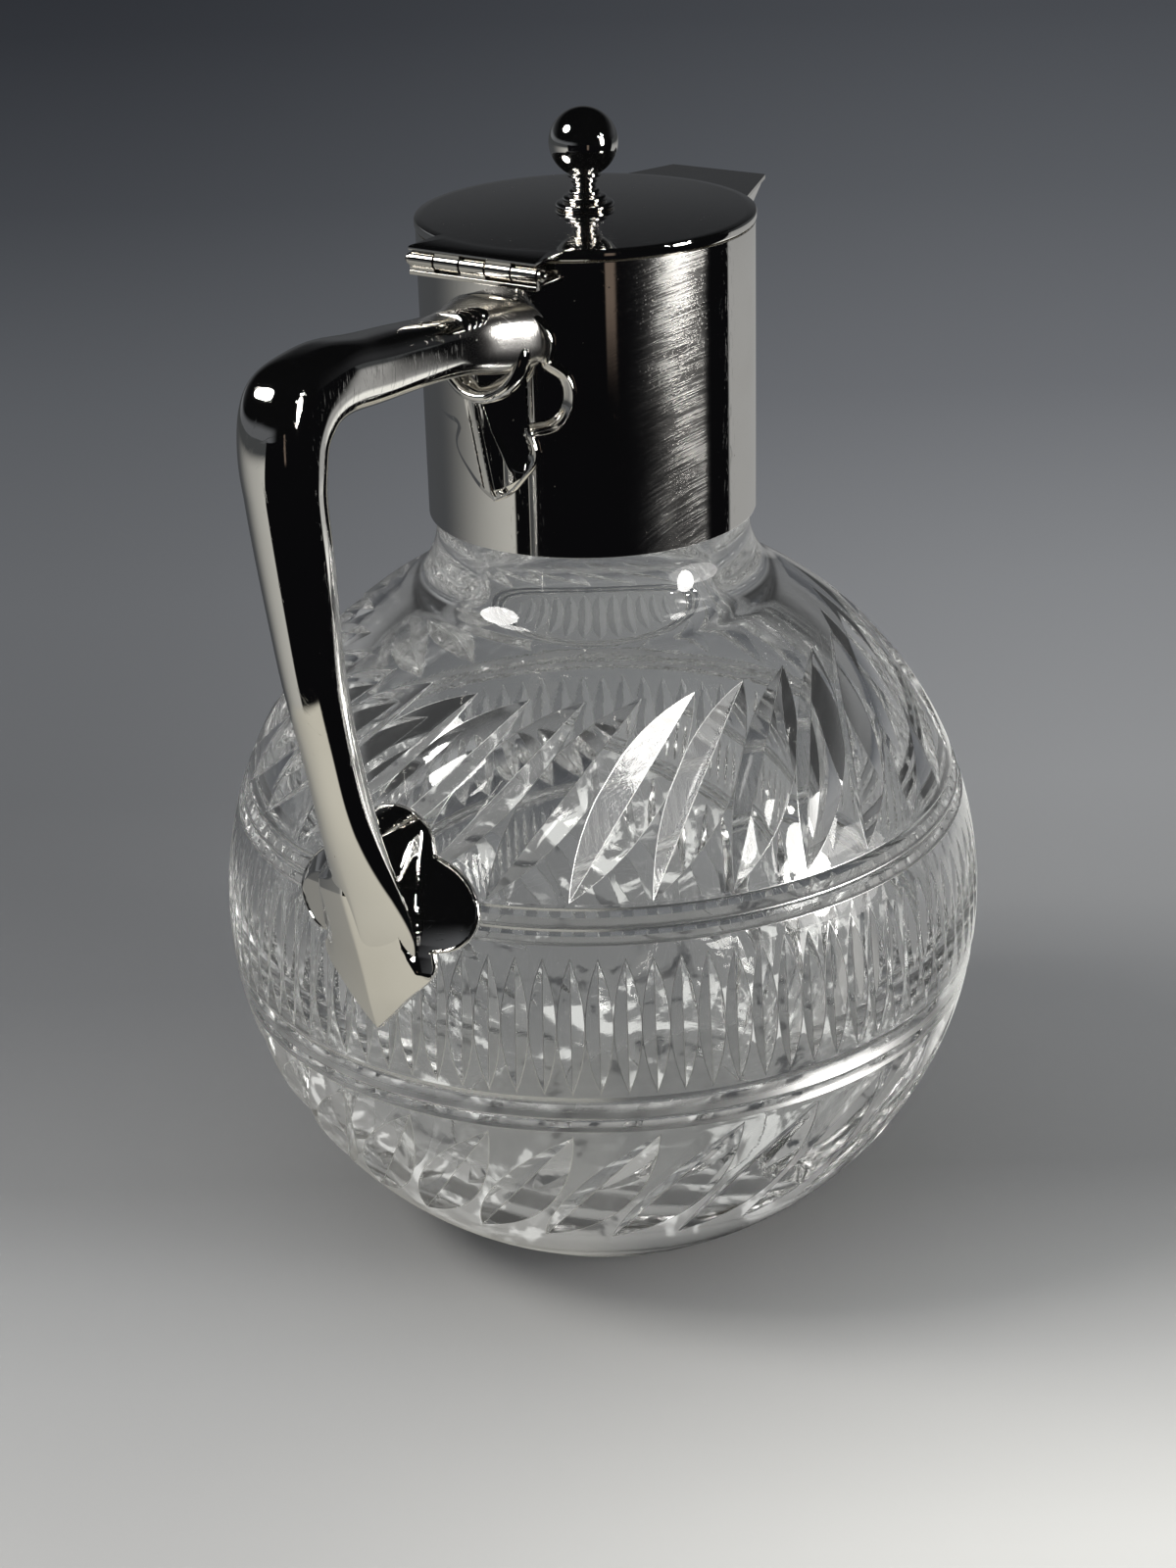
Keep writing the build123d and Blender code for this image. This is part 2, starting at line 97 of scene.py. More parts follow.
# %% One shader value
class Val:
    """One shader value; + - * / and the mirrored forms of + - * add Math nodes."""

    def __init__(self, bench, socket):
        self.bench, self.socket = bench, socket

    def _sum(self, operation, a, b):
        return self.bench.node("Math", {"operation": operation}, [a, b])

    def __add__(self, o):
        return self._sum("ADD", self, o)

    def __sub__(self, o):
        return self._sum("SUBTRACT", self, o)

    def __rsub__(self, o):
        return self._sum("SUBTRACT", o, self)

    def __mul__(self, o):
        return self._sum("MULTIPLY", self, o)

    def __truediv__(self, o):
        return self._sum("DIVIDE", self, o)

    __radd__, __rmul__ = __add__, __mul__

    def clamp(self):
        """The value, kept between 0 and 1."""
        return self.bench.node("Clamp", {}, {"Value": self})

    def ramp(self, lo, hi):
        """0 below lo, 1 above hi, smooth between."""
        return self.bench.node("MapRange", {"interpolation_type": "SMOOTHSTEP"},
                               {"Value": self, "From Min": lo, "From Max": hi})

    def out(self, name):
        """Another output of the node that this value comes from."""
        return Val(self.bench, self.socket.node.outputs[name])


# %% The bench
MIX_FACTOR, MIX_A, MIX_B, MIX_OUT = 0, 6, 7, 2  # the Mix node's sockets when it mixes colours


class Finish:
    """A material or the world, as a bench for nodes."""

    def __init__(self, name, owner=None):
        self.owner = owner or bpy.data.materials.new(name)
        self.owner.use_nodes = True
        self.tree = self.owner.node_tree
        self.tree.nodes.clear()

    def node(self, kind, settings=None, inputs=None, out=0):
        """A new node: its settings first ("stops" are a ramp's places and colours), then its
        sockets' values or links."""
        n = self.tree.nodes.new("ShaderNode" + kind)
        for key, value in (settings or {}).items():
            if key == "stops":
                while len(n.color_ramp.elements) < len(value):
                    n.color_ramp.elements.new(0.5)
                for element, (place, colour) in zip(n.color_ramp.elements, value):
                    element.position, element.color = place, (*colour, 1)
            else:
                setattr(n, key, value)
        pairs = inputs.items() if isinstance(inputs, dict) else enumerate(inputs or [])
        for key, value in pairs:
            if isinstance(value, Val):
                self.tree.links.new(value.socket, n.inputs[key])
            elif isinstance(value, tuple) and len(value) == 3 and n.inputs[key].type == "RGBA":
                n.inputs[key].default_value = (*value, 1)
            else:
                n.inputs[key].default_value = value
        return Val(self, n.outputs[out]) if n.outputs else None

    def place(self):
        """Position on the object, in metres."""
        return self.node("TexCoord", out="Object")

    def mark(self, name):
        """A number that the mesh carries at each of its points."""
        return self.node("Attribute", {"attribute_name": name}, out="Fac")

    def xyz(self, vector):
        """The three parts of a vector."""
        n = self.node("SeparateXYZ", {}, {"Vector": vector})
        return n, n.out("Y"), n.out("Z")

    def scaled(self, vector, scale, turn=(0, 0, 0)):
        """The vector stretched along each axis, then turned about them, in radians."""
        return self.node("Mapping", {}, {"Vector": vector, "Scale": scale, "Rotation": turn})

    def noise(self, vector, scale, detail=3.0, rough=0.5, warp=0.0):
        """Soft noise between 0 and 1, with about this many lumps to a metre."""
        return self.node("TexNoise", {}, {"Vector": vector, "Scale": scale, "Detail": detail,
                                          "Roughness": rough, "Distortion": warp})

    def dots(self, vector, scale):
        """Distance to the nearest scattered point, in cells."""
        return self.node("TexVoronoi", {}, {"Vector": vector, "Scale": scale, "Randomness": 1.0})

    def length(self, vector):
        """How far the vector reaches."""
        return self.node("VectorMath", {"operation": "LENGTH"}, [vector], out="Value")

    def blend(self, mask, a, b):
        """Colour a where the mask is 0, b where it is 1."""
        n = self.node("Mix", {"data_type": "RGBA"}, {}).socket.node
        for key, value in ((MIX_FACTOR, mask), (MIX_A, a), (MIX_B, b)):
            if isinstance(value, Val):
                self.tree.links.new(value.socket, n.inputs[key])
            else:
                n.inputs[key].default_value = (*value, 1) if isinstance(value, tuple) else value
        return Val(self, n.outputs[MIX_OUT])

    def by_ray(self, plain, mirrored, bent):
        """For the stage only: one shader for plain rays, one for mirrored rays, one for rays
        through glass. A bent ray counts as mirrored too, so it is asked for last."""
        glossy = self.node("LightPath", out="Is Glossy Ray")
        through = self.node("LightPath", out="Is Transmission Ray")
        solid = self.node("MixShader", {}, [glossy, plain, mirrored])
        return self.node("MixShader", {}, [through, solid, bent])

    def bump(self, height, depth, strength):
        """Normals of a surface raised by the height times the depth, in metres."""
        return self.node("Bump", {}, {"Height": height, "Distance": depth, "Strength": strength})

    def metal_or_glass(self, **sockets):
        """Closes the material with one Principled shader, whose sockets are given by name."""
        names = {k.replace("_", " "): v for k, v in sockets.items()}
        shader = self.node("BsdfPrincipled", {}, names)
        self.node("OutputMaterial", {}, {"Surface": shader})
        return self.owner


# %% [markdown]
# ## Polished silver
# Old silver is a mirror with a past. Three things keep it from looking like chrome: a faint warm
# cast, a web of hairlines from years of cloths, and a few pits. They could be painted as image
# maps, but patterns in space need no unwrapping and stay crisp close up. A hairline is long noise
# squeezed across one direction, and two sets lie crossed. Where a cloth went round and round, on
# the collar, the wear makes rings about one point.

# %% Silver finishes
HAIRS, CROSS_HAIRS = (0.3, 0.2, 0.9), (1.1, 0.5, 0.1)  # turns of the two sets, radians
TARNISH = (0.52, 0.47, 0.38)
# soft borders of the worn places, in metres; each pair is where the wear begins and where it is full
RUB_FRONT, RUB_LEFT, RUB_RIGHT = (-0.015, -0.019), (-0.0245, -0.015), (-0.009, -0.006)
RUB_CENTRE = (-0.006, -0.040, 0.120)
UNDER_LID = (0.172, 0.182)
PAST_ROOT, ARM_HEIGHT = (0.036, 0.052), (0.170, 0.178)
SCRATCH_DEPTH = 0.000012


def hairlines(b, p, turn, squeeze, scale):
    """Thin streaks: noise sampled in a space that is turned, then squeezed along one direction."""
    q = b.scaled(b.scaled(p, (1, 1, 1), turn), squeeze)
    return b.noise(q, scale, 4.0, 0.6)


def rubbed_rings(b, p):
    """On the right of the collar: roughness and height of ring noise, sampled by distance from one
    point."""
    x, y, z = b.xyz(p)
    side = y.ramp(*RUB_FRONT) * x.ramp(*RUB_LEFT) * (1 - x.ramp(*RUB_RIGHT))
    low = b.noise(b.scaled(p, (1, 1, 0.6)), 45, 3.0, 0.5).ramp(0.30, 0.60) * 0.5 + 0.5
    ring = b.length(b.node("VectorMath", {"operation": "SUBTRACT"}, [p, RUB_CENTRE]))
    arcs = b.noise(b.node("CombineXYZ", {}, [ring * 16.0, y, z * 0.6]), 260, 5.0, 0.65).ramp(0.42, 0.68)
    speck = (1 - b.dots(p, 1500).ramp(0.15, 0.30)) * b.noise(p, 120, 2.0).ramp(0.45, 0.6)
    top = z.ramp(*UNDER_LID) * side
    return side * low * (arcs * 0.16 + 0.24) + top * speck * 0.25, arcs * side * low * -1.7


def silver(name, rubbed=False, tint=(0.93, 0.915, 0.885), base_rough=0.028, brushed=0.0):
    """Mirror silver: roughness and height are sums of streaks, clouds and pits. rubbed adds the
    collar's rings, and brushed a worn root to the handle's arm."""
    b = Finish(name)
    p = b.place()
    streak = hairlines(b, p, HAIRS, (1, 14, 1), 240).ramp(0.60, 0.72)
    cross = hairlines(b, p, CROSS_HAIRS, (12, 1, 1), 260).ramp(0.62, 0.74)
    cloud = b.noise(p, 55, 4.0).ramp(0.45, 0.75)
    pits = (1 - b.dots(p, 420).ramp(0.05, 0.09)) * b.noise(p, 70, 1.0).ramp(0.56, 0.60)
    rough = cloud * 0.015 + streak * 0.035 + cross * 0.03 + pits * 0.35 + base_rough
    height = streak * -0.5 + cross * -0.4 + pits * -1.6 + b.noise(p, 320, 2.0) * 0.25
    colour = b.blend(pits * 0.7 + cloud * 0.10, tint, TARNISH)
    if rubbed:
        haze, rings = rubbed_rings(b, p)
        rough, height = rough + haze, height + rings
    if brushed:
        x, _, z = b.xyz(p)
        root = (1 - (x * -1).ramp(*PAST_ROOT)) * z.ramp(*ARM_HEIGHT)
        rough = rough + root * brushed * (streak * 0.2 + 0.8)
    print("silver:", name)
    return b.metal_or_glass(Base_Color=colour, Metallic=1.0, Roughness=rough.clamp(),
                            Normal=b.bump(height, SCRATCH_DEPTH, 0.6))


SILVER = silver("polished_silver")
COLLAR_SILVER = silver("rubbed_collar_silver", rubbed=True)
HANDLE_SILVER = silver("worn_handle_silver", brushed=0.26)
HINGE_SILVER = silver("hinge_silver", tint=(0.70, 0.68, 0.64), base_rough=0.035)

# %% [markdown]
# ## Crystal and plaster
# Lead crystal bends light more than window glass, so its index of refraction is 1.55. The wheel
# leaves the cuts very slightly wavy, which breaks up reflections. Roughness would blur them
# instead, so the wave is a faint bump. Edges of cuts are worn to a thin bright line, and the foot
# is scuffed from tables. Plaster is plain: pale, matt and grainy.

# %% Crystal and plaster
CRYSTAL_IOR = 1.55
CUT_TURN = (0.4, 0.2, 0.6)  # turn of the wheel's marks, radians
WORN_EDGE, ON_CUT = (0.04, 0.13), (0.05, 0.5)  # mm from the nearest crease
SCUFFED = (0.0, 0.0012)


def crystal():
    """The mark crease is the distance in mm to the nearest edge of a cut, below zero on the cut
    faces."""
    b = Finish("cut_crystal")
    p = b.place()
    _, _, z = b.xyz(p)
    crease = b.mark("crease")
    line = 1 - b.node("Math", {"operation": "ABSOLUTE"}, [crease]).ramp(*WORN_EDGE)
    ground = (crease * -1).ramp(*ON_CUT)
    streak = hairlines(b, p, CUT_TURN, (1, 1, 9), 260).ramp(0.5, 0.75)
    wave = b.noise(p, 60, 3.0) + hairlines(b, p, CUT_TURN, (1, 6, 1), 90) * 0.5
    foot = 1 - z.ramp(*SCUFFED)
    rough = foot * (b.noise(p, 900, 3.0) * 0.2 + 0.65) + line * 0.30 + ground * (streak * 0.06 + 0.02)
    return b.metal_or_glass(Base_Color=(0.985, 0.99, 0.985), Metallic=line * 0.6, Roughness=rough.clamp(),
                            IOR=CRYSTAL_IOR, Transmission_Weight=1.0,
                            Normal=b.bump(wave + streak * ground * 0.15, 0.00003, 0.5))


def plaster():
    """Two pale tones mixed by fine noise, which also roughens and raises the surface."""
    b = Finish("neck_plaster")
    p = b.place()
    grain = b.noise(p, 700, 4.0)
    colour = b.blend(grain, (0.60, 0.56, 0.47), (0.72, 0.69, 0.62))
    return b.metal_or_glass(Base_Color=colour, Roughness=grain * 0.1 + 0.8, Normal=b.bump(grain, 0.0001, 0.8))


CRYSTAL, PLASTER = crystal(), plaster()
print("glass:", CRYSTAL.name, "bedding:", PLASTER.name)

# %% [markdown]
# ## Grids and how they become pieces
# Blender can carve shapes with modifiers and booleans, but cut glass and turned silver have exact
# formulas, and numpy works out a whole surface at once. So a new piece is a grid of points, rows by
# columns. Closing a grid round joins its last column to its first. Doubled points at poles and
# creases are merged, and an edge sharper than a set angle stays sharp.


# %% Grids
def quads(rows, cols, wrap=True):
    """Corner numbers of the faces between neighbouring grid rows and columns."""
    i, j = np.meshgrid(np.arange(rows - 1), np.arange(cols if wrap else cols - 1), indexing="ij")
    k = (j + 1) % cols
    return np.stack([i * cols + j, i * cols + k, (i + 1) * cols + k, (i + 1) * cols + j], -1).reshape(-1, 4)


# %% From points to a piece
MERGE, CAD_MERGE, NO_LENGTH = 2e-6, 1e-6, 1e-7  # metres
FLAT, EASED_ANGLE = math.radians(0.5), math.radians(40)


def show(name, mesh, finish, sharp):
    """Smooth shading with sharp creases, one finish, and an object that carries the mesh."""
    mesh.polygons.foreach_set("use_smooth", np.ones(len(mesh.polygons), bool))
    mesh.set_sharp_from_angle(angle=math.radians(sharp))
    mesh.materials.clear()
    mesh.materials.append(finish)
    obj = bpy.data.objects.new(name, mesh)
    bpy.context.scene.collection.objects.link(obj)
    print(name, len(mesh.polygons), "faces")
    return obj


def build(name, points, faces, finish, sharp, outward=False, marks=None):
    """Puts points (mm) and faces into a smooth mesh with sharp creases; marks holds one number per
    point, by name."""
    mesh = bpy.data.meshes.new(name)
    mesh.from_pydata((np.asarray(points) * MM).tolist(), [], [list(map(int, f)) for f in faces])
    for key, value in (marks or {}).items():
        mesh.attributes.new(key, "FLOAT", "POINT").data.foreach_set("value", np.asarray(value, np.float32))
    bm = bmesh.new()
    bm.from_mesh(mesh)
    bmesh.ops.remove_doubles(bm, verts=bm.verts, dist=MERGE)
    bmesh.ops.dissolve_degenerate(bm, edges=bm.edges, dist=NO_LENGTH)
    if outward:
        bmesh.ops.recalc_face_normals(bm, faces=bm.faces)
    bm.to_mesh(mesh)
    bm.free()
    return show(name, mesh, finish, sharp)


def seat(obj, node, body):
    """The piece stands for a node of the measured model and moves with its body."""
    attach(obj, body)
    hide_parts(node)
    return obj


def smoothed(node, body, slot, finish, sharp, bevel):
    """A merged, smooth-shaded copy of a node, with its edges eased by a narrow bevel."""
    mesh = NODES[node].data.copy()
    mesh.name = node + "_skin"
    bm = bmesh.new()
    bm.from_mesh(mesh)
    bmesh.ops.remove_doubles(bm, verts=bm.verts, dist=CAD_MERGE)
    bmesh.ops.dissolve_limit(bm, angle_limit=FLAT, verts=bm.verts, edges=bm.edges)
    bm.to_mesh(mesh)
    bm.free()
    obj = show(node + "_skin", mesh, finish, sharp)
    if bevel:
        m = obj.modifiers.new("eased_edges", "BEVEL")
        m.width, m.segments, m.limit_method, m.angle_limit = bevel * MM, 2, "ANGLE", EASED_ANGLE
        m.use_clamp_overlap = True
        m.harden_normals = True
    return seat(obj, node, body)


# %% [markdown]
# ## The cut globe
# On the real jug the globe is blown, then each cut is ground into it by a wheel. A boolean of 150
# wedges would do the same and leave ragged faces. A mitre cut is one pass of a V-edged wheel: two
# flat faces that meet in a straight root. Seen from the globe's centre, a flat face with normal n
# at distance c lies at c / (n . d) along the direction d, so the cut glass is at the smaller of the
# sphere's radius and, for each wedge, the larger of its two face distances.

# %% Globe sizes and cuts (mm, degrees)
GLOBE_R, GLOBE_Z = 75.0, 66.5
CAVITY_R, FLOOR_Z = 66.5, 9.5
NECK_R, SLEEVE_R, BORE_R, SHOULDER_R = 29.8, 28.6, 23.5, 15.0
NECK_TOP, COLLAR_BOTTOM = 178.0, 146.7
CUTS = {  # name: how many, azimuth of the first, lowest and highest latitude, lean, width
    "upper": (29, -149.9, 23.2, 51.5, 27.0, 11.5),
    "lower": (29, -152.2, -38.0, -12.2, 19.5, 11.8),
    "flute": (92, -148.0, -4.4, 15.5, 0.0, 5.2),
}
GROOVES = [  # top, bottom, depth
    (28.7, 25.5, 1.0), (25.3, 22.6, 0.9), (-6.7, -11.2, 1.1), (-11.2, -14.4, 0.9)]
print("cuts:", sum(cut[0] for cut in CUTS.values()), "grooves:", len(GROOVES))


# %% One wedge
NOWHERE, GRAZING = 1e3, 1e-3  # a distance past everything, and the smallest n . d that counts


def toward(az, lat):
    """Unit direction at an azimuth and a latitude in degrees: (cos b cos a, cos b sin a, sin b)."""
    a, b = np.radians(az), np.radians(lat)
    return np.stack([np.cos(b) * np.cos(a), np.cos(b) * np.sin(a), np.sin(b) + 0 * a], -1)


def wedge_faces(lat0, lat1, turn, width):
    """Normals (2, 3) and distances (2,) of one wedge whose root ends at azimuth 0, latitude
    lat1."""
    low, high = GLOBE_R * toward(-turn, lat0), GLOBE_R * toward(0.0, lat1)
    mid, along = (low + high) / 2, unit(high - low)
    out = unit(mid)
    side = unit(np.cross(out, along))
    slope = (GLOBE_R - np.linalg.norm(mid)) / (width / 2)
    normals = unit(np.stack([out - slope * side, out + slope * side]))
    return normals, normals @ low, low, high


def spin(normals, angle):
    """Vectors turned about Z by angles in degrees; result (len(angle), 2, 3)."""
    c, s = np.cos(np.radians(angle))[:, None], np.sin(np.radians(angle))[:, None]
    x, y, z = normals[:, 0], normals[:, 1], normals[:, 2]
    return np.stack([c * x - s * y, s * x + c * y, 0 * c + z], -1)


def reach(directions, normals, dist):
    """Distance to the wedge along each direction: the larger of its faces' c / (n . d)."""
    slant = directions @ normals.T
    return np.where(slant > GRAZING, dist / np.maximum(slant, GRAZING), NOWHERE).max(-1)


def cut_radius(az, lat, name):
    """Distance from the centre to the cut glass in each direction: the least of the sphere and of
    the wedges near."""
    n, az0, lat0, lat1, turn, width = CUTS[name]
    normals, dist, _, _ = wedge_faces(lat0, lat1, turn, width)
    pitch = 360.0 / n
    d = toward((az - az0) % pitch, lat)
    r = np.full(d.shape[:-1], GLOBE_R)
    for k in range(-1, int(turn // pitch) + 3):
        r = np.minimum(r, reach(d, spin(normals, np.array([k * pitch]))[0], dist))
    return r


# %% A smooth line through given places
def spline(t, y, at):
    """Natural cubic spline through (t, y): second derivatives m solve a banded system, then y(x) =
    a y0 + b y1 + ((a^3 - a) m0 + (b^3 - b) m1) h^2 / 6 inside each span."""
    t, y, at = (np.asarray(v, float) for v in (t, y, at))
    n, h = len(t), np.diff(t)
    system = np.diag(np.r_[1, 2 * (h[:-1] + h[1:]), 1])
    system += np.diag(np.r_[0, h[1:]], 1) + np.diag(np.r_[h[:-1], 0], -1)
    slope = np.diff(y, axis=0) / h.reshape(-1, *[1] * (y.ndim - 1))
    right = np.zeros_like(y)
    right[1:-1] = 6 * np.diff(slope, axis=0)
    m = np.linalg.solve(system, right)
    i = np.clip(np.searchsorted(t, at) - 1, 0, n - 2)
    shape = (-1, *[1] * (y.ndim - 1))
    b = ((at - t[i]) / h[i]).reshape(shape)
    a, hh = 1 - b, h[i].reshape(shape) ** 2 / 6
    return a * y[i] + b * y[i + 1] + ((a ** 3 - a) * m[i] + (b ** 3 - b) * m[i + 1]) * hh


# %% [markdown]
# ## A row of cuts
# An even grid would saw across the slanting edges. Here the grid's columns follow the roots and the
# ridges, so that every edge is crisp. Between two roots a row of points runs up one face, over the
# land of uncut glass, and down the next face; where the faces meet, the land has no width.


# %% A row of cuts
OVER = 0.15  # degrees by which the grid passes the cuts' ends
ROOT_STEPS, FINE_STEPS = 400, 3001


def crossing(lat, pitch, root, normals, dist):
    """Where, in fractions of the pitch, one cut's face ends and the next cut's face begins, found
    on a fine row of points."""
    f = np.linspace(0, 1, FINE_STEPS)
    d = toward(root[:, None] + f * pitch, lat[:, None])
    near, far = reach(d, normals, dist), reach(d, spin(normals, np.array([pitch]))[0], dist)
    first = np.argmax(near >= np.minimum(GLOBE_R, far) - 1e-9, axis=1)
    last = len(f) - 1 - np.argmax((far >= np.minimum(GLOBE_R, near) - 1e-9)[:, ::-1], axis=1)
    return f[np.minimum(first, last)], f[np.maximum(first, last)]


def band(name, rows, face_cols=3, land_cols=4):
    """Grid (rows, columns, 3) over one row of cuts; columns run along each root, ridge and land
    edge. With it goes the distance to the nearest crease in mm, below zero on the cut faces and
    above it on the lands."""
    n, az0, lat0, lat1, turn, width = CUTS[name]
    normals, dist, low, high = wedge_faces(lat0, lat1, turn, width)
    pitch = 360.0 / n
    chord = low + np.linspace(0, 1, ROOT_STEPS)[:, None] * (high - low)
    chord_lat = np.degrees(np.arcsin(chord[:, 2] / np.linalg.norm(chord, axis=1)))
    chord_az = np.degrees(np.arctan2(chord[:, 1], chord[:, 0]))
    s = np.linspace(0, 1, rows)
    lat = lat0 - OVER + (lat1 - lat0 + 2 * OVER) * (1 - np.cos(np.pi * s)) / 2
    root = np.interp(lat, chord_lat, chord_az)
    e1, e2 = crossing(lat, pitch, root, normals, dist)
    face, land = (np.linspace(0, 1, cols, endpoint=False) for cols in (face_cols, land_cols))
    steps = np.concatenate([face, 1 + land, 2 + face])
    part, g = np.floor(steps).astype(int), steps % 1
    start, size = np.stack([0 * e1, e1, e2])[part].T, np.stack([e1, e2 - e1, 1 - e2])[part].T
    frac = start + size * g
    az = az0 + root[:, None, None] + (np.arange(n)[:, None] + frac[:, None, :]) * pitch
    az = az.reshape(rows, -1)
    lat_grid = np.broadcast_to(lat[:, None], az.shape)
    r = cut_radius(az, lat_grid, name)
    span = size.T * np.radians(pitch) * GLOBE_R * np.cos(np.radians(lat))
    edge = (span * np.minimum(g, 1 - g)[:, None] * np.where(part == 1, 1, -1)[:, None]).T
    return r[..., None] * toward(az, lat_grid) + (0, 0, GLOBE_Z), np.tile(edge, (1, n))


# %% [markdown]
# ## Turned zones, and how zones are joined
# Everything between the rows of cuts was turned, so it is a profile carried round the axis, as the
# Spin tool or a Screw modifier would do. Each zone has its own number of columns. Two neighbours
# are zipped together by triangles: every edge of one ring takes the nearest point of the other.


# %% Turned zones
SMOOTH = 9.0  # mm; a crease distance that means no crease is near


def revolve(profile, cols=180, start=-148.0):
    """Profile (r, z) carried round the axis: (r cos a, r sin a, z)."""
    a = np.radians(start + np.arange(cols) * 360.0 / cols)
    r, z = np.asarray(profile, float).T
    return np.stack([r[:, None] * np.cos(a), r[:, None] * np.sin(a), np.repeat(z[:, None], cols, 1)], -1)


def turned(profile):
    """A revolved zone of the glass, with its distance to the nearest edge or root of a turned
    groove."""
    r, z = np.asarray(profile, float).T
    lines = np.array([v for top, low, _ in GROOVES for v in (top, (top + low) / 2, low)]) + GLOBE_Z
    edge = np.where(r > CAVITY_R, np.abs(z[:, None] - lines).min(1), SMOOTH)
    grid = revolve(profile)
    return grid, np.repeat(edge[:, None], grid.shape[1], 1)


# %% Zipping zones
def zipper(lower, upper, first_lower, first_upper):
    """Triangles between two rings with different numbers of points, in order of azimuth."""

    def order(ring, first):
        """Point numbers in order of azimuth, and the azimuths halfway between neighbours."""
        az = np.degrees(np.arctan2(ring[:, 1], ring[:, 0])) % 360
        k = np.argsort(az, kind="stable")
        az = az[k]
        return first + k, (az + np.r_[az[1:], az[0] + 360]) / 2

    ka, ma = order(lower, first_lower)
    kb, mb = order(upper, first_upper)
    ja, jb = np.searchsorted(mb, ma) % len(kb), np.searchsorted(ma, mb) % len(ka)
    up = np.stack([ka, np.roll(ka, -1), kb[ja]], -1)
    down = np.stack([np.roll(kb, -1), kb, ka[jb]], -1)
    return np.concatenate([up, down])


def stack(zones):
    """Joins grids, one above the other, into points, faces and crease distances."""
    points, faces, edges, first, previous = [], [], [], 0, None
    for grid, edge in zones:
        rows, cols = grid.shape[:2]
        faces += (quads(rows, cols) + first).tolist()
        if previous is not None:
            faces += zipper(previous[0], grid[0], previous[1], first).tolist()
        points.append(grid.reshape(-1, 3))
        edges.append(edge.ravel())
        previous = (grid[-1], first + (rows - 1) * cols)
        first += rows * cols
    return np.concatenate(points), faces, np.concatenate(edges)


# %% [markdown]
# ## Outline of the turned glass
# The outline starts under the foot's middle, runs up the outside, over the lip, and down the bore
# to the hollow's floor. It is made of arcs and of short curves where the wheel or the fire has
# rounded an edge. A curve's points could be placed by hand; a formula keeps the wall's thickness
# true.


# %% Outline of the turned parts of the glass
def globe_arc(lat0, lat1, n, radius=GLOBE_R):
    """(R cos b, Z + R sin b) for latitudes b between two values."""
    b = np.radians(np.linspace(lat0, lat1, n))
    return np.stack([radius * np.cos(b), GLOBE_Z + radius * np.sin(b)], -1)


def grooved(lat0, lat1):
    """The globe's arc with its turned V grooves: a groove's root lies its depth below the arc."""
    out = [globe_arc(lat0, lat0, 1)]
    at = lat0
    for top, low, depth in sorted(GROOVES, key=lambda g: g[1]):
        b0, b1 = np.degrees(np.arcsin([low / GLOBE_R, top / GLOBE_R]))
        if b1 < lat0 or b0 > lat1:
            continue
        mid = (b0 + b1) / 2
        out += [globe_arc(at, b0, 4)[1:], globe_arc(mid, mid, 1, GLOBE_R - depth), globe_arc(b1, b1, 1)]
        at = b1
    return np.concatenate(out + [globe_arc(at, lat1, 4)[1:]])


def curve(q, *handles):
    """Bezier curve: the sum over k of C(n, k) (1 - q)^(n - k) q^k times its handle k, for q from 0
    to 1."""
    n = len(handles) - 1
    return sum(math.comb(n, k) * (1 - q) ** (n - k) * q ** k * np.array(p) for k, p in enumerate(handles))


# %% Foot
FOOT_ROUND, FOOT_RISE = 1.6, 1.2


def foot_outline(lat1):
    """Ground foot, its rounded edge, and the globe up to a latitude."""
    lat0 = math.degrees(math.asin((FOOT_RISE - GLOBE_Z) / GLOBE_R))
    rim = GLOBE_R * math.cos(math.radians(lat0))
    flat = np.stack([np.linspace(0, rim - FOOT_ROUND, 14), np.zeros(14)], -1)
    edge = curve(np.linspace(0.2, 1, 5)[:, None], (rim - FOOT_ROUND, 0), (rim - 0.5, 0), (rim, FOOT_RISE))
    return np.concatenate([flat, edge, globe_arc(lat0, lat1, 24)[1:]])


# %% Shoulder, neck and hollow
STEP, LIP_R = 1.6, 1.2
THROAT_OUT, THROAT_UP, KNEE = 6.0, 17.0, 6.0


def shoulder_and_neck():
    """The shoulder is an arc that touches the globe and the neck; a step under the collar; a
    half-round lip."""
    cr, far = NECK_R + SHOULDER_R, GLOBE_R + SHOULDER_R
    cz = math.sqrt(far ** 2 - cr ** 2)
    end = math.degrees(math.atan2(cz, cr))
    b = np.linspace(math.radians(end) + math.pi, math.pi, 26)[1:]
    shoulder = np.stack([cr + SHOULDER_R * np.cos(b), GLOBE_Z + cz + SHOULDER_R * np.sin(b)], -1)
    neck = [(NECK_R, COLLAR_BOTTOM), (SLEEVE_R, COLLAR_BOTTOM + STEP), (SLEEVE_R, NECK_TOP - LIP_R)]
    q = np.radians(np.linspace(0, 90, 6))[:, None]
    lip_out = np.concatenate([SLEEVE_R - LIP_R + LIP_R * np.cos(q), NECK_TOP - LIP_R + LIP_R * np.sin(q)], 1)
    lip_in = np.concatenate([BORE_R + LIP_R - LIP_R * np.sin(q), NECK_TOP - LIP_R + LIP_R * np.cos(q)], 1)
    return end, np.concatenate([shoulder, neck, lip_out, lip_in])


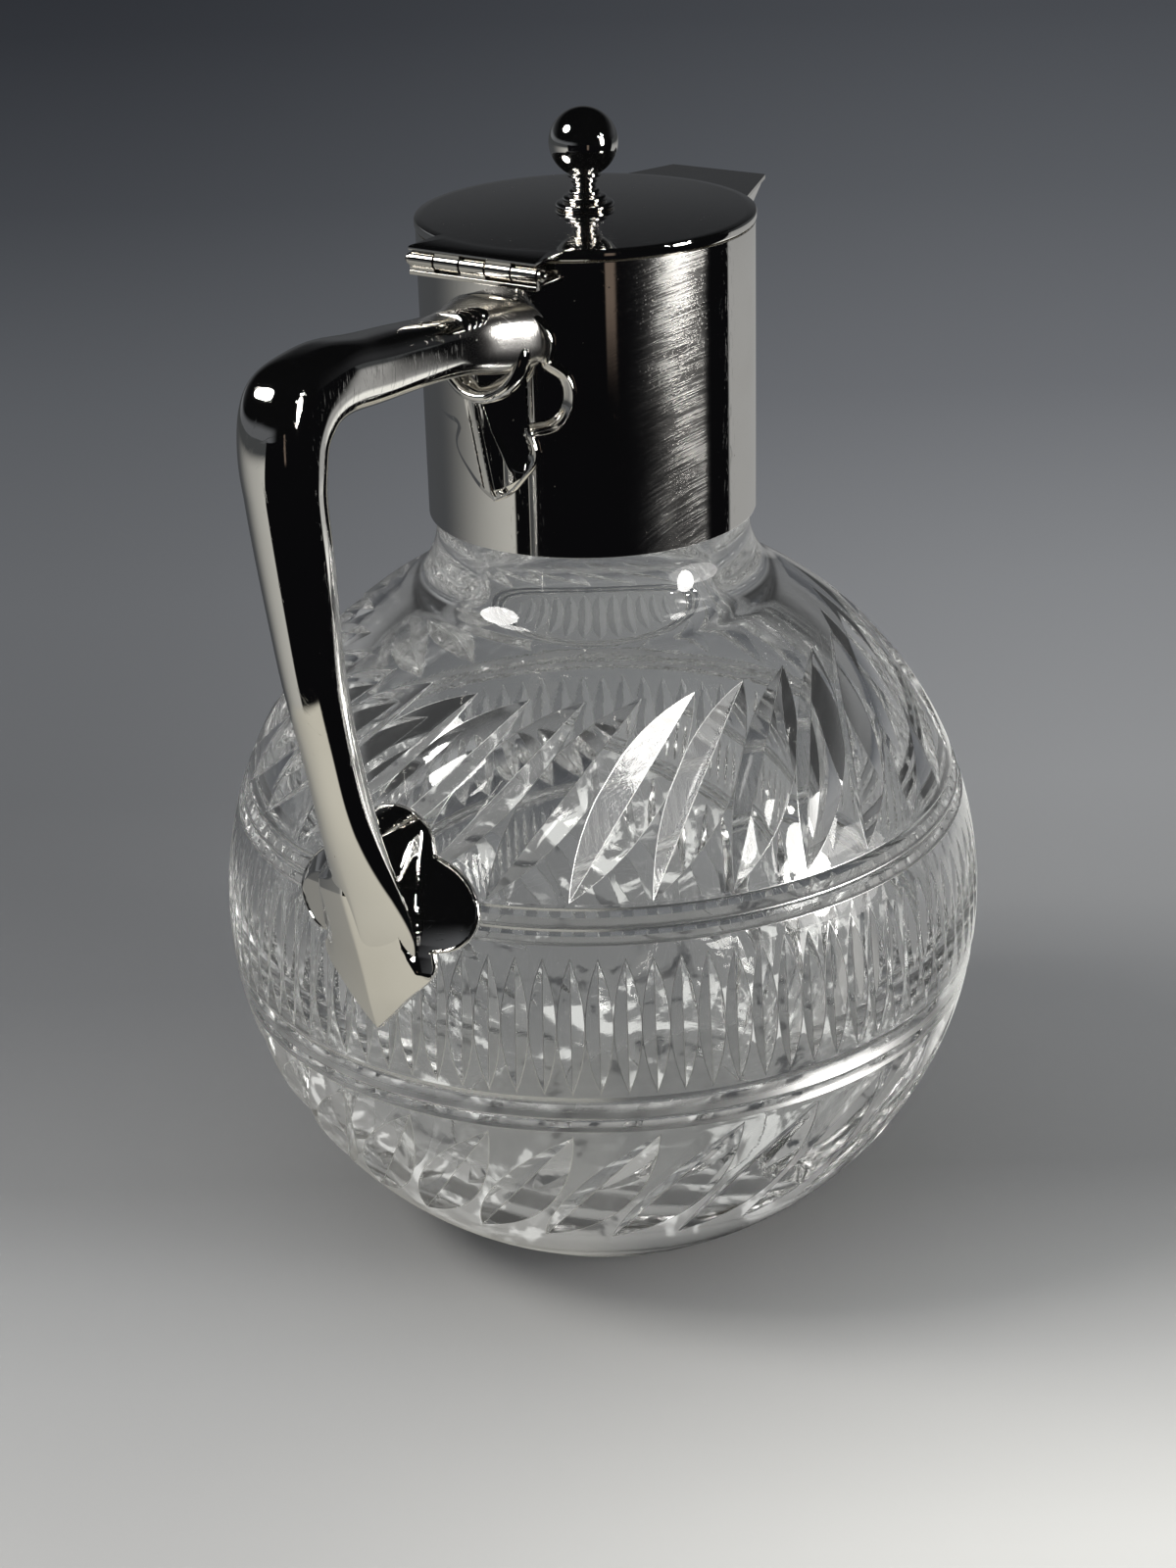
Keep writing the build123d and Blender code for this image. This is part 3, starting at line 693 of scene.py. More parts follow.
def throat_and_hollow():
    """The bore opens by a smooth throat into a sphere, which a rounded knee joins to the flat
    floor."""
    edge = BORE_R + THROAT_OUT
    up = math.sqrt(CAVITY_R ** 2 - edge ** 2)
    a = math.atan2(up, edge)
    top, bottom = np.array((BORE_R, GLOBE_Z + up + THROAT_UP)), np.array((edge, GLOBE_Z + up))
    throat = curve(np.linspace(0, 1, 24)[:, None], top, top - (0, 9.0),
                   bottom + 6.0 * np.array((-math.sin(a), math.cos(a))), bottom)
    low = math.degrees(math.asin((FLOOR_Z + 1.0 - GLOBE_Z) / CAVITY_R))
    hollow = globe_arc(math.degrees(a), low, 80, CAVITY_R)[1:]
    r_low = hollow[-1, 0]
    knee = curve(np.linspace(0, 1, 8)[1:, None], hollow[-1], (r_low - 1.9, FLOOR_Z), (r_low - KNEE, FLOOR_Z))
    flat = np.stack([np.linspace(r_low - KNEE, 0, 10)[1:], np.full(9, FLOOR_Z)], -1)
    return np.concatenate([throat, hollow, knee, flat])


def neck_and_hollow(lat0):
    """From the globe over the shoulder and the neck's lip, then down the bore and round the hollow
    to its floor."""
    end, neck = shoulder_and_neck()
    return np.concatenate([globe_arc(lat0, end, 12), neck, throat_and_hollow()])


# %% [markdown]
# ## The glass in one piece
# The zones are stacked from the foot up. The numbers are latitudes just past the ends of each row
# of cuts. One closed surface, outside and inside, is what lets light bend through the wall and the
# hollow as it does in a real jug.


# %% Glass body
def glass_body():
    """Seven zones: foot, lower cuts, two grooves, flutes, two grooves, upper cuts, then the neck
    and the hollow."""
    zones = [turned(foot_outline(-38.4)), band("lower", 34), turned(grooved(-11.7, -4.85)),
             band("flute", 22, 2, 2), turned(grooved(15.9, 22.9)), band("upper", 40),
             turned(neck_and_hollow(52.0))]
    points, faces, edges = stack(zones)
    obj = build("cut_globe", points, faces, CRYSTAL, sharp=14.0, marks={"crease": edges})
    return seat(obj, "glass_body", "jug")


GLASS = glass_body()

# %% [markdown]
# ## The lid
# The lid is one hammered sheet: a disc with a square tab for the hinge. It could be a cylinder
# joined to a box, but then an edge would cross the mirror. Seen from above its edge is one closed
# line whose distance from the middle is the larger of the disc's radius and the distance to the
# tab's straight sides, so a polar grid carries both, and the top is crowned by 0.6 mm so that it
# mirrors the room softly.

# %% Lid
LID_R, LID_TOP, LID_EDGE, LID_DOME = 31.3, 202.9, 1.7, 0.6
TAB_X, TAB_HALF, TAB_T = 36.6, 13.4, 0.8
HOLE_R, ROUND, NICK = 2.05, 0.35, 0.10


def lid_rim():
    """Angles round the lid, with one at each corner and joint of the tab, and the edge's distance
    at each: the larger of the disc's radius and the smaller of half / |sin a| and reach / |cos
    a|."""
    corner = math.degrees(math.atan2(TAB_HALF, TAB_X))
    joint = math.degrees(math.asin(TAB_HALF / LID_R))
    tab = np.linspace(corner, joint, 9)
    a = np.radians(np.unique(np.concatenate([
        np.linspace(-180, 180, 240, endpoint=False), [-180 + corner, 180 - corner], 180 - tab, -180 + tab])))
    side = TAB_HALF / np.maximum(np.abs(np.sin(a)), 1e-6)
    rim = np.where(np.cos(a) < 0, np.minimum(side, TAB_X / np.maximum(np.abs(np.cos(a)), 1e-6)), 0)
    return a, np.maximum(rim, LID_R)


def lid_top(r):
    """Height of the crowned top: a parabola that falls to nothing at the rounded edge."""
    return LID_TOP + LID_DOME * np.maximum(1 - (r / (LID_R - ROUND)) ** 2, 0)


def lid():
    """Rows of radius and height at every angle: up the hole, over the crown, round the edge, and
    back underneath."""
    a, rim = lid_rim()
    disc, z1, z0 = LID_R + 0 * a, LID_TOP, LID_TOP - LID_EDGE
    rows = [(HOLE_R, z0), (HOLE_R, lid_top(HOLE_R))]
    rows += [(r, lid_top(r)) for r in np.linspace(3, LID_R - ROUND, 22)]
    under = rim - 0.2 * (rim - LID_R > 0.01)
    ring = [(disc - ROUND, z1), (rim - ROUND, z1), (rim - NICK, z1 - NICK), (rim, z1 - ROUND),
            (rim, z1 - 0.55), (under, z1 - TAB_T), (disc, z1 - TAB_T), (disc, z0 + ROUND),
            (disc - NICK, z0 + NICK), (disc - ROUND, z0), (HOLE_R + 0 * a, z0)]
    r = np.stack([np.full(len(a), r) for r, _ in rows] + [r for r, _ in ring])
    z = np.array([z for _, z in rows + ring])[:, None] + 0 * r
    points = np.stack([r * np.cos(a), r * np.sin(a), z], -1)[::-1]
    sheet = build("flat_lid", points.reshape(-1, 3), quads(*points.shape[:2]), SILVER, sharp=30.0)
    return seat(sheet, "lid", "lid")


lid()

# %% [markdown]
# ## The finial
# A finial is turned in one piece on a lathe, so its profile is all it needs: half-round beads
# stepping in, a slim ringed stem, and the ball. The profile is carried round the axis, as for the
# glass.

# %% Finial
BALL_R, BALL_UP = 6.3, 12.5
SPIGOT_R, SPIGOT_L, SEAT_R = 2.0, 4.6, 4.5
BEADS = ((4.8, 1.15), (3.5, 1.15), (2.4, 1.1), (1.7, 1.1), (1.9, 1.1), (2.6, 1.0))  # radius, height
BULGE = 0.55


def bead(r, z, h, n=9):
    """Half-round bead: r + 0.55 h sin(t), z + h (1 - cos t) / 2, for t from 0 to pi."""
    t = np.linspace(0, np.pi, n)
    return np.stack([r + BULGE * h * np.sin(t), z + h * (1 - np.cos(t)) / 2], -1)


def finial():
    """The spigot below the lid, the beads one on another, and the ball's arc from the last bead to
    its top."""
    at, middle = LID_TOP + LID_DOME, LID_TOP + BALL_UP
    runs = [np.array([(0, at - SPIGOT_L), (SPIGOT_R, at - SPIGOT_L), (SPIGOT_R, at), (SEAT_R, at)])]
    for r, h in BEADS:
        runs.append(bead(r, at, h))
        at += h
    t = np.linspace(math.asin((at - middle) / BALL_R), math.pi / 2, 60)
    runs.append(np.stack([BALL_R * np.cos(t), middle + BALL_R * np.sin(t)], -1))
    grid = revolve(np.concatenate(runs), 96, 0.0)
    ball = build("ball_finial", grid.reshape(-1, 3), quads(*grid.shape[:2]), SILVER, sharp=40.0)
    return seat(ball, "finial", "lid")


finial()

# %% [markdown]
# ## The handle
# The handle is a cast bar that leaves the collar level, turns the elbow and comes down to the
# globe. A curve with a bevel could carry one section along a path, but this section changes from
# round to square and back. So it is worked out: each station below holds the path's place, its
# direction and the section's two half-widths, and a cubic spline runs through every column of the
# table.

# %% Handle stations: distance from the axis, height, direction (0 out, -90 down), half-width, half-depth
STATIONS = np.array([
    (26.3, 187.7, 4, 10.6, 6.4), (31.7, 187.7, 4, 10.1, 6.5), (36.1, 188.0, 5, 8.3, 6.3),
    (41.0, 188.5, 5, 6.4, 5.7), (48.8, 189.2, 5, 5.6, 5.3), (60.6, 190.2, 5, 5.6, 5.6),
    (71.0, 191.0, 4, 5.8, 5.9), (79.2, 191.6, -4, 6.1, 6.3), (85.0, 190.6, -22, 6.3, 7.1),
    (88.6, 188.9, -45, 6.4, 8.1), (90.6, 185.4, -68, 6.4, 7.5), (91.3, 180.0, -84, 6.4, 7.1),
    (91.2, 174.7, -92, 6.3, 6.7), (90.2, 165.4, -95, 6.1, 6.4), (88.6, 151.5, -97, 5.6, 5.8),
    (87.0, 140.0, -98, 5.2, 5.3), (84.3, 127.3, -101, 4.9, 4.9), (82.3, 118.5, -103, 5.0, 4.9),
    (80.3, 110.4, -104, 5.6, 4.8), (77.9, 101.9, -105, 6.9, 4.7), (75.9, 94.4, -103, 8.2, 4.7),
    (74.4, 86.9, -100, 8.2, 4.4), (73.2, 78.9, -94, 5.4, 3.5), (73.0, 73.3, -90, 2.6, 2.8),
    (73.0, 69.6, -90, 0.8, 2.0)])
SQUARE = ((78, 1.15), (88, 1.2), (98, 1.45), (112, 2.0), (140, 2.25), (176, 2.3), (186, 3.0))


def ease(v, lo, hi):
    """Smooth step: t t (3 - 2 t) with t = (v - lo) / (hi - lo) kept between 0 and 1."""
    t = np.clip((v - lo) / (hi - lo), 0, 1)
    return t * t * (3 - 2 * t)


def lift_clear(points, wall, globe):
    """Points inside the collar's cylinder or the globe are moved straight out to them, so the bar
    stops in the silver."""
    r = np.linalg.norm(points[..., :2], axis=-1, keepdims=True)
    grow = np.where(points[..., 2:] > COLLAR_BOTTOM, np.maximum(wall / np.maximum(r, 1e-6), 1.0), 1.0)
    v = points * np.concatenate([grow, grow, 1 + 0 * grow], -1) - (0, 0, GLOBE_Z)
    far = np.linalg.norm(v, axis=-1, keepdims=True)
    return (0, 0, GLOBE_Z) + v * np.maximum(globe / far, 1.0)


# %% Handle
COLLAR_R = 31.1
SUNK, PROUD = 0.4, 0.5  # the bar's root goes into the collar; its foot stays off the glass
PATH = np.r_[0, np.cumsum(np.linalg.norm(np.diff(STATIONS[:, :2], axis=0), axis=1))]


def bar(along, q, lift=0.0):
    """Points on the bar, for places along its path and angles q round it, raised by lift. Section:
    u = sgn(cos q) |cos q|^(2/p) w across, v = sgn(sin q) |sin q|^(2/p) d in the handle's plane. A
    large p is square, 2 is round, and 1 is a roof with flat sides, which the grip's foot nears."""
    s = spline(PATH, STATIONS, along.ravel()).reshape(*along.shape, 5)
    r, z, a, half, deep = (s[..., k] for k in range(5))
    a, c, w = np.radians(a), np.cos(q), np.sin(q)
    p = np.interp(z, *np.transpose(SQUARE))
    u = np.sign(c) * np.abs(c) ** (2 / p) * (half + lift)
    v = np.sign(w) * np.abs(w) ** (2 / p) * (deep + lift)
    return np.stack([-(r - np.sin(a) * v), u, z + np.cos(a) * v], -1)


def handle():
    """The bar over its whole length, each end closed to its middle."""
    along, q = np.meshgrid(np.linspace(0, PATH[-1], 340), np.linspace(0, 2 * np.pi, 120, endpoint=False),
                           indexing="ij")
    points = lift_clear(bar(along, q), COLLAR_R - SUNK, GLOBE_R + PROUD)
    caps = [np.repeat(points[[k]].mean(1, keepdims=True), q.shape[1], 1) for k in (0, -1)]
    grid = np.concatenate([caps[0], points, caps[1]])
    cast = build("cast_handle", grid.reshape(-1, 3), quads(*grid.shape[:2]), HANDLE_SILVER,
                 sharp=50.0, outward=True)
    return seat(cast, "handle", "jug")


handle()

# %% [markdown]
# ## The leaves
# Each leaf is a silver casting soldered where the handle ends. It could be sculpted, but its
# outline has to stay true, so it is a height over a flat outline, bent onto its seat. Half the
# outline is a list of runs that meet in cusps. At every height there is one half-width, so a grid
# of heights by fractions of that width covers the leaf, and the relief follows from the distances
# to the keel and to the outline.

# %% Leaf outlines: (across, up from the tip), in mm
UPPER_LEAF = [[(0, 0), (3.0, 1.8), (5.8, 4.8), (8.9, 10.2), (8.2, 13.2)],
              [(8.2, 13.2), (12.2, 14.5), (15.0, 18.0), (15.6, 21.8), (14.4, 25.2), (11.6, 27.2)],
              [(11.6, 27.2), (12.2, 30.6), (10.4, 34.4), (6.2, 37.2), (0, 38.2)]]
LOWER_LEAF = [[(0, 0), (3.8, 3.5), (8.4, 8.2), (12.2, 13.0), (11.8, 15.9)],
              [(11.8, 15.9), (16.0, 17.2), (18.9, 20.4), (19.7, 23.8), (18.4, 27.6), (15.2, 31.0),
               (9.8, 33.4)],
              [(9.8, 33.4), (8.4, 36.6), (6.2, 39.0), (3.2, 40.5), (0, 41.0)]]


def outline(runs, n=40):
    """Smooth points along each run; a run is a cubic spline by chord length, and runs meet in
    cusps."""
    out = []
    for run in runs:
        run = np.array(run, float)
        t = np.r_[0, np.cumsum(np.linalg.norm(np.diff(run, axis=0), axis=1))]
        out.append(spline(t, run, np.linspace(0, t[-1], n)))
    return np.concatenate([out[0], *[o[1:] for o in out[1:]]])


def to_edge(x, y, line):
    """Shortest distance from points (x, y) to the closed outline."""
    both = np.concatenate([line, line[::-1] * (-1, 1)])
    a, b = both[:-1], both[1:]
    p = np.stack([x, y], -1)[..., None, :]
    ab = b - a
    t = np.clip(((p - a) * ab).sum(-1) / np.maximum((ab ** 2).sum(-1), 1e-12), 0, 1)
    return np.sqrt((((p - a) - t[..., None] * ab) ** 2).sum(-1)).min(-1)


# %% A casting over its seat
LEAF_ROWS, LEAF_COLS = 190, 150


def cast_leaf(runs, height):
    """Flat leaf: x, y and height over its seat. The grid's rows are heights, its columns fractions
    of the half-width."""
    line = outline(runs)
    y = line[:, 1]
    keep = np.r_[True, np.diff(y) > 1e-4]
    y, w = y[keep], line[keep, 0]
    rows = np.unique(np.concatenate([y, [r[-1][1] for r in runs], np.linspace(y[0], y[-1], LEAF_ROWS)[1:-1]]))
    x = np.sin(np.linspace(-1, 1, LEAF_COLS) * np.pi / 2) * np.interp(rows, y, w)[:, None]
    yy = np.broadcast_to(rows[:, None], x.shape)
    d = to_edge(x, yy, line)
    d[:, 0] = d[:, -1] = 0
    return x, yy, height(x, yy, d)


def leaf_piece(name, node, x, y, h, seat_on, lowest=0.0):
    """Top and back grids share their outline; the top is walked one way and the back the other."""
    top, back = seat_on(x, y, h), seat_on(x, y, 0 * h + lowest)
    rows, cols = x.shape
    under = rows * cols
    k = np.arange(rows - 1)[:, None] * cols + np.array((0, cols - 1))
    sides = np.stack([k, k + cols, under + k + cols, under + k], -1).reshape(-1, 4)
    faces = np.concatenate([quads(rows, cols, False), quads(rows, cols, False)[:, ::-1] + under, sides])
    points = np.concatenate([top.reshape(-1, 3), back.reshape(-1, 3)])
    return seat(build(name, points, faces, SILVER, sharp=42.0, outward=True), node, "jug")


# %% [markdown]
# ### The upper leaf
# It lies against the collar under the arm. Its left half is nearly flat and its right half is
# hollowed, so that the hollow stays dark inside a bright rim. A bump map would shade the same, but
# the rim has to stand out from the side.

# %% Upper leaf, wrapped on the collar
UPPER_TIP = LID_TOP - 46.5
# where a hollow begins: heights up the leaf, and distances from the keel there
HOLLOW_FROM = ([0, 7.2, 9.9, 13.6, 18.5, 38], [5.0, 4.0, 3.4, 2.4, 1.6, 1.2])
HOLLOW_W, HOLLOW_DEEP, RIM_H = 8, 1.7, 1.8


def upper_form(x, y, d):
    """A keel with a thin ridge line; on its right a hollow, at first steep and then level, up to a
    raised rim. The hollow is 1 - (1 - t)^2 of its depth at t of its width; the rim is the root of
    d, then falls as 1 - d^1.5."""
    u = x - (0.7 - 0.16 * y)
    right = np.clip(u - np.interp(y, *HOLLOW_FROM), 0, HOLLOW_W)
    slope = np.where(u < 0, -0.10 * u, 0.16 * u)
    plane = 2.5 + 0.03 * y - slope - 0.25 * ease(-u, 0.0, 0.15) * (1 - ease(-u, 1.7, 1.9))
    drop = HOLLOW_DEEP * (1 - (1 - right / HOLLOW_W) ** 2) * ease(y, 6.4, 8.4)
    rim = RIM_H * np.sqrt(np.minimum(d / 0.45, 1)) * (1 - np.clip((d - 0.45) / 1.9, 0, 1) ** 1.5)
    edge = 1.4 * np.sqrt(np.clip(1 - (1 - np.minimum(d / 0.8, 1)) ** 2, 0, 1)) + 0.5 * d
    bead = 0.3 * np.exp(-(u / 0.3) ** 2) * (1 - ease(y, 18, 21)) * ease(d, 0.5, 1.2)
    return np.maximum(np.minimum(plane - drop, edge), np.where(x > 0, rim, 0)) + bead


def on_collar(x, y, h):
    """Across becomes an angle, x / R; up stays up; the height is added to the radius."""
    a = np.pi + x / COLLAR_R
    r = COLLAR_R + h
    return np.stack([r * np.cos(a), r * np.sin(a), UPPER_TIP + y], -1)


leaf_piece("upper_leaf_casting", "upper_leaf", *cast_leaf(UPPER_LEAF, upper_form), on_collar)

# %% [markdown]
# ### The shell on the arm
# A small fan of crescent ribs hides the joint where the arm leaves the collar. Its ribs are one
# wavy height, laid over the bar by the bar's own formula, so that it hugs the arm whatever the
# arm's section is.

# %% Arm shell
FAN_L, FAN_RIBS, RIB_H = 9.5, 4, 0.8
FAN_POINT, FAN_BOW, FAN_SUNK = 19.5, 4.0, -0.35


def arm_shell():
    """x is the distance from the fan's point, y the angle. Each rib is |sin|^0.7 high across."""
    x, y = np.meshgrid(np.linspace(0, FAN_L, 60), np.linspace(0, 1, 121), indexing="ij")
    rib = np.abs(np.sin(np.pi * y * FAN_RIBS)) ** 0.7
    return x, y, RIB_H * rib * ease(x, 0, 4) * np.sqrt(1 - (x / FAN_L) ** 6)


def on_arm(x, y, h):
    """The fan's polar grid on the bar; the ribs bow towards the root by y sin(pi x / length) times
    4 mm."""
    towards_root = x * np.sin(0.6 * y - 0.1) + FAN_BOW * y * np.sin(np.pi * x / FAN_L)
    return bar(FAN_POINT - towards_root, math.radians(78) + x * np.cos(0.6 * y - 0.1) / 7.0, h)


leaf_piece("arm_shell_casting", "arm_shell", *arm_shell(), on_arm, FAN_SUNK)

# %% [markdown]
# ### The lower leaf
# It lies on the globe where the grip ends. Its keel rises smoothly under the grip, so that the two
# castings meet in one ridge, and its lobes are scooped. Bent round a cylinder it would leave the
# glass; it is bent over the sphere.

# %% Lower leaf, wrapped on the globe
TIP_LAT, LEAF_TURN, LEAF_MID = math.radians(2.2), math.radians(3.5), 21.0
# where a scoop begins: heights up the leaf, and distances from the middle there
SCOOP_FROM = ([0, 10.6, 11.2, 12.2, 15.1, 17.3, 22.8, 26.2, 41],
              [30, 13, 10.5, 8.6, 7.6, 7.2, 7.0, 6.6, 6.0])


def lower_form(x, y, d):
    """Two planes on a keel that falls to the pointed end, as the grip's foot does; past a start
    each lobe above is scooped, deep on the right and less than half as deep on the left."""
    u = np.abs(x)
    start = np.interp(y, *SCOOP_FROM)
    ridge = 1.3 + 0.31 * y + 0.0132 * np.clip(y - 8, 0, 17) ** 2
    plane = ridge - (0.29 + 0.21 * ease(y, 2, 26)) * u
    edge = 1.1 * np.sqrt(np.clip(1 - (1 - np.minimum(d / 0.45, 1)) ** 2, 0, 1))
    rim = edge * (1 - ease(d, 0.5, 1.0))
    lobe = ease(u - start, 0.0, np.where(x > 0, 1.2, 5.0)) * np.where(x > 0, 1.0, 0.45)
    hollow = 0.5 + 1.3 * np.clip(1 - (u - start) / 9, 0, 1) ** 2
    low = np.minimum(np.maximum(hollow, rim), edge + 0.5 * d)
    return np.minimum(plane, edge + 1.2 * d) * (1 - lobe) + low * lobe


def on_globe(x, y, h):
    """The turned leaf lies in a plane that touches the globe, drops straight onto it, and rises by
    h from there."""
    c, s, lat = math.cos(LEAF_TURN), math.sin(LEAF_TURN), TIP_LAT + LEAF_MID / GLOBE_R
    out, up = np.array((-math.cos(lat), 0, math.sin(lat))), np.array((math.sin(lat), 0, math.cos(lat)))
    across = np.array((0, -1, 0))
    xr, yr = c * x - s * y, s * x + c * y
    flat = across * xr[..., None] + up * (yr - LEAF_MID)[..., None]
    depth = np.sqrt(np.maximum(GLOBE_R ** 2 - (flat ** 2).sum(-1), 0))[..., None]
    return (0, 0, GLOBE_Z) + unit(flat + out * depth) * (GLOBE_R + h)[..., None]


leaf_piece("lower_leaf_casting", "lower_leaf", *cast_leaf(LOWER_LEAF, lower_form), on_globe)

# %% [markdown]
# ## The hinge tubes
# Five short tubes stand end to end on the pin, two soldered to the lid's tab and three to the
# bracket below. A cylinder would do, but its ends would be sharp. Each is a circle carried along Y
# with its ends eased, and a web joins it to its plate.

# %% Hinge tubes
PIN_X, PIN_Z, BRACKET_TOP = -35.4, 200.35, 198.6
TUBE_R, TUBE_BORE, TUBE_GAP, TUBE_EASE, AROUND = 1.45, 0.75, 0.3, 0.12, 64
TUBE_L = (2 * TAB_HALF - 4 * TUBE_GAP) / 5
WEB_HALF, WEB_FROM = 0.85, 1.1


def tube_and_web(y0, plate_z):
    """Tube: rows of (y, radius) round the pin. Web: the four corners of a box, near the tube and at
    the plate."""
    y1, shoulder = y0 + TUBE_L, TUBE_R - TUBE_EASE
    rows = [(y1, TUBE_BORE), (y0, TUBE_BORE), (y0, shoulder), (y0 + TUBE_EASE, TUBE_R),
            (y1 - TUBE_EASE, TUBE_R), (y1, shoulder), (y1, TUBE_BORE)]
    a = np.linspace(0, 2 * np.pi, AROUND, endpoint=False)
    tube = np.array([np.stack([PIN_X + r * np.cos(a), 0 * a + y, PIN_Z + r * np.sin(a)], -1)
                     for y, r in rows])
    near = PIN_Z + math.copysign(WEB_FROM, plate_z - PIN_Z)
    corners = ((-WEB_HALF, y0), (WEB_HALF, y0), (WEB_HALF, y1), (-WEB_HALF, y1))
    return tube, np.array([[(PIN_X + x, y, z) for x, y in corners] for z in sorted((near, plate_z))])


def hinge_tubes(name, node, body, places, plate_z):
    """The tubes at these places along the pin, counted along Y from 0, with their webs, in one
    piece."""
    points, faces, first = [], [], 0
    for place in places:
        for grid in tube_and_web(-TAB_HALF + place * (TUBE_L + TUBE_GAP), plate_z):
            faces += (quads(*grid.shape[:2]) + first).tolist()
            points.append(grid.reshape(-1, 3))
            first += len(points[-1])
    tubes = build(name, np.concatenate(points), faces, HINGE_SILVER, sharp=30.0, outward=True)
    return seat(tubes, node, body)


hinge_tubes("lid_hinge_tubes", "lid_knuckles", "lid", (1, 3), LID_TOP - TAB_T)
hinge_tubes("collar_hinge_tubes", "collar_knuckles", "jug", (0, 2, 4), BRACKET_TOP)

# %% [markdown]
# ## Parts that are right as measured
# The collar, the spout, the rest of the hinge and the bedding keep their measured shape, so there
# is nothing to rebuild. A merged copy with its edges eased by a Bevel modifier catches light as
# worn metal does.

# %% Remaining silver, hinge and plaster
AS_MEASURED = {  # node: body, slot, finish, angle that stays sharp, width of the eased edge
    "collar": ("jug", "silver", COLLAR_SILVER, 30, 0.12),
    "spout_shell": ("jug", "silver", SILVER, 30, 0.15),
    "spout_cover": ("jug", "silver", SILVER, 30, 0.12),
    "lid_flange": ("lid", "silver", SILVER, 30, 0.1),
    "finial_nut": ("lid", "silver", SILVER, 30, 0.12),
    "root_scroll": ("jug", "silver", SILVER, 50, 0),
    "hinge_bracket": ("jug", "hinge_metal", HINGE_SILVER, 30, 0.08),
    "hinge_pin": ("jug", "hinge_metal", HINGE_SILVER, 40, 0),
    "bedding_ring": ("jug", "plaster", PLASTER, 30, 0),
}
for node, row in AS_MEASURED.items():
    smoothed(node, *row)

# %% [markdown]
# ## The room
# Silver shows the room more than itself, so the room is part of its look. The jug stands on a pale
# sheet whose colour carries painted light: bright near it and darker far off, dimmer on the left.
# Real cards and curtains could stand round it; here what the metal mirrors is given apart, by
# direction and by place on the floor, as glowing tones that only mirror and glass rays meet:
# painted reflections, pale to the sides and close by, dark in front, where the looker stands.

# %% Tones of the sheet: painted light and painted reflections
AHEAD = (0.836, 0.549)  # the level direction in which the looker faces
FLOOR_HALF, FLOOR_GAP = 6.0, -0.00005
NEAREST, DEPTH_SHOWN = 0.25, 1.85
# Painted light in the matt sheet's colour: tones by distance ahead, bright near the jug and darker far off,
# dimmer on the left; on the right they rise again from 0.132 to 0.239, painted light that lifts the jug's
# shadow.
LEFT_PAINTED_LIGHT = [
    (0.0, (0.51, 0.505, 0.485)), (0.068, (0.48, 0.475, 0.46)), (0.095, (0.41, 0.408, 0.40)),
    (0.113, (0.34, 0.34, 0.335)), (0.132, (0.25, 0.25, 0.247)), (0.179, (0.17, 0.172, 0.174)),
    (0.239, (0.135, 0.138, 0.142)), (0.321, (0.135, 0.139, 0.145)), (0.44, (0.115, 0.12, 0.128)),
    (0.627, (0.073, 0.077, 0.085)), (0.908, (0.048, 0.051, 0.058)), (1.0, (0.045, 0.048, 0.055))]
RIGHT_PAINTED_LIGHT = [
    (0.0, (0.82, 0.81, 0.77)), (0.068, (0.80, 0.79, 0.75)), (0.095, (0.56, 0.555, 0.535)),
    (0.113, (0.40, 0.398, 0.385)), (0.132, (0.265, 0.265, 0.26)), (0.179, (0.27, 0.271, 0.27)),
    (0.239, (0.30, 0.302, 0.304)), (0.321, (0.265, 0.269, 0.275)), (0.44, (0.185, 0.19, 0.20)),
    (0.627, (0.142, 0.148, 0.158)), (0.908, (0.105, 0.11, 0.12)), (1.0, (0.10, 0.105, 0.115))]
# Painted reflections: glowing tones on the sheet that only mirror rays meet
DARK, FAR_OFF, BESIDE = (0.003, 0.003, 0.0035), (0.05, 0.053, 0.055), (0.33, 0.33, 0.325)
TOWARDS, AWAY = (0.46, 0.455, 0.425), (0.058, 0.061, 0.065)
CREAM, GREY, WHITE, WARM = (0.54, 0.52, 0.45), (0.20, 0.20, 0.19), (0.88, 0.88, 0.84), (0.13, 0.10, 0.08)
# Painted light that only glass rays meet: calm tones in front, caustic light and shade under the jug
CALM_LEFT, CALM_RIGHT = (0.22, 0.22, 0.216), (0.34, 0.337, 0.325)
GLINT, GLOOM = (0.80, 0.80, 0.78), (0.075, 0.077, 0.08)


def painted_falloff(b, ahead, side):
    """Painted light: tones by distance ahead, each between a left and a right value, bright near the
    jug and darker far off.
    """
    t = (ahead + NEAREST) / DEPTH_SHOWN
    left, right = (b.node("ValToRGB", {"stops": tones}, {0: t}) for tones in (LEFT_PAINTED_LIGHT, RIGHT_PAINTED_LIGHT))
    return b.blend((side / (ahead + 0.60)).ramp(-0.22, 0.22), left, right)


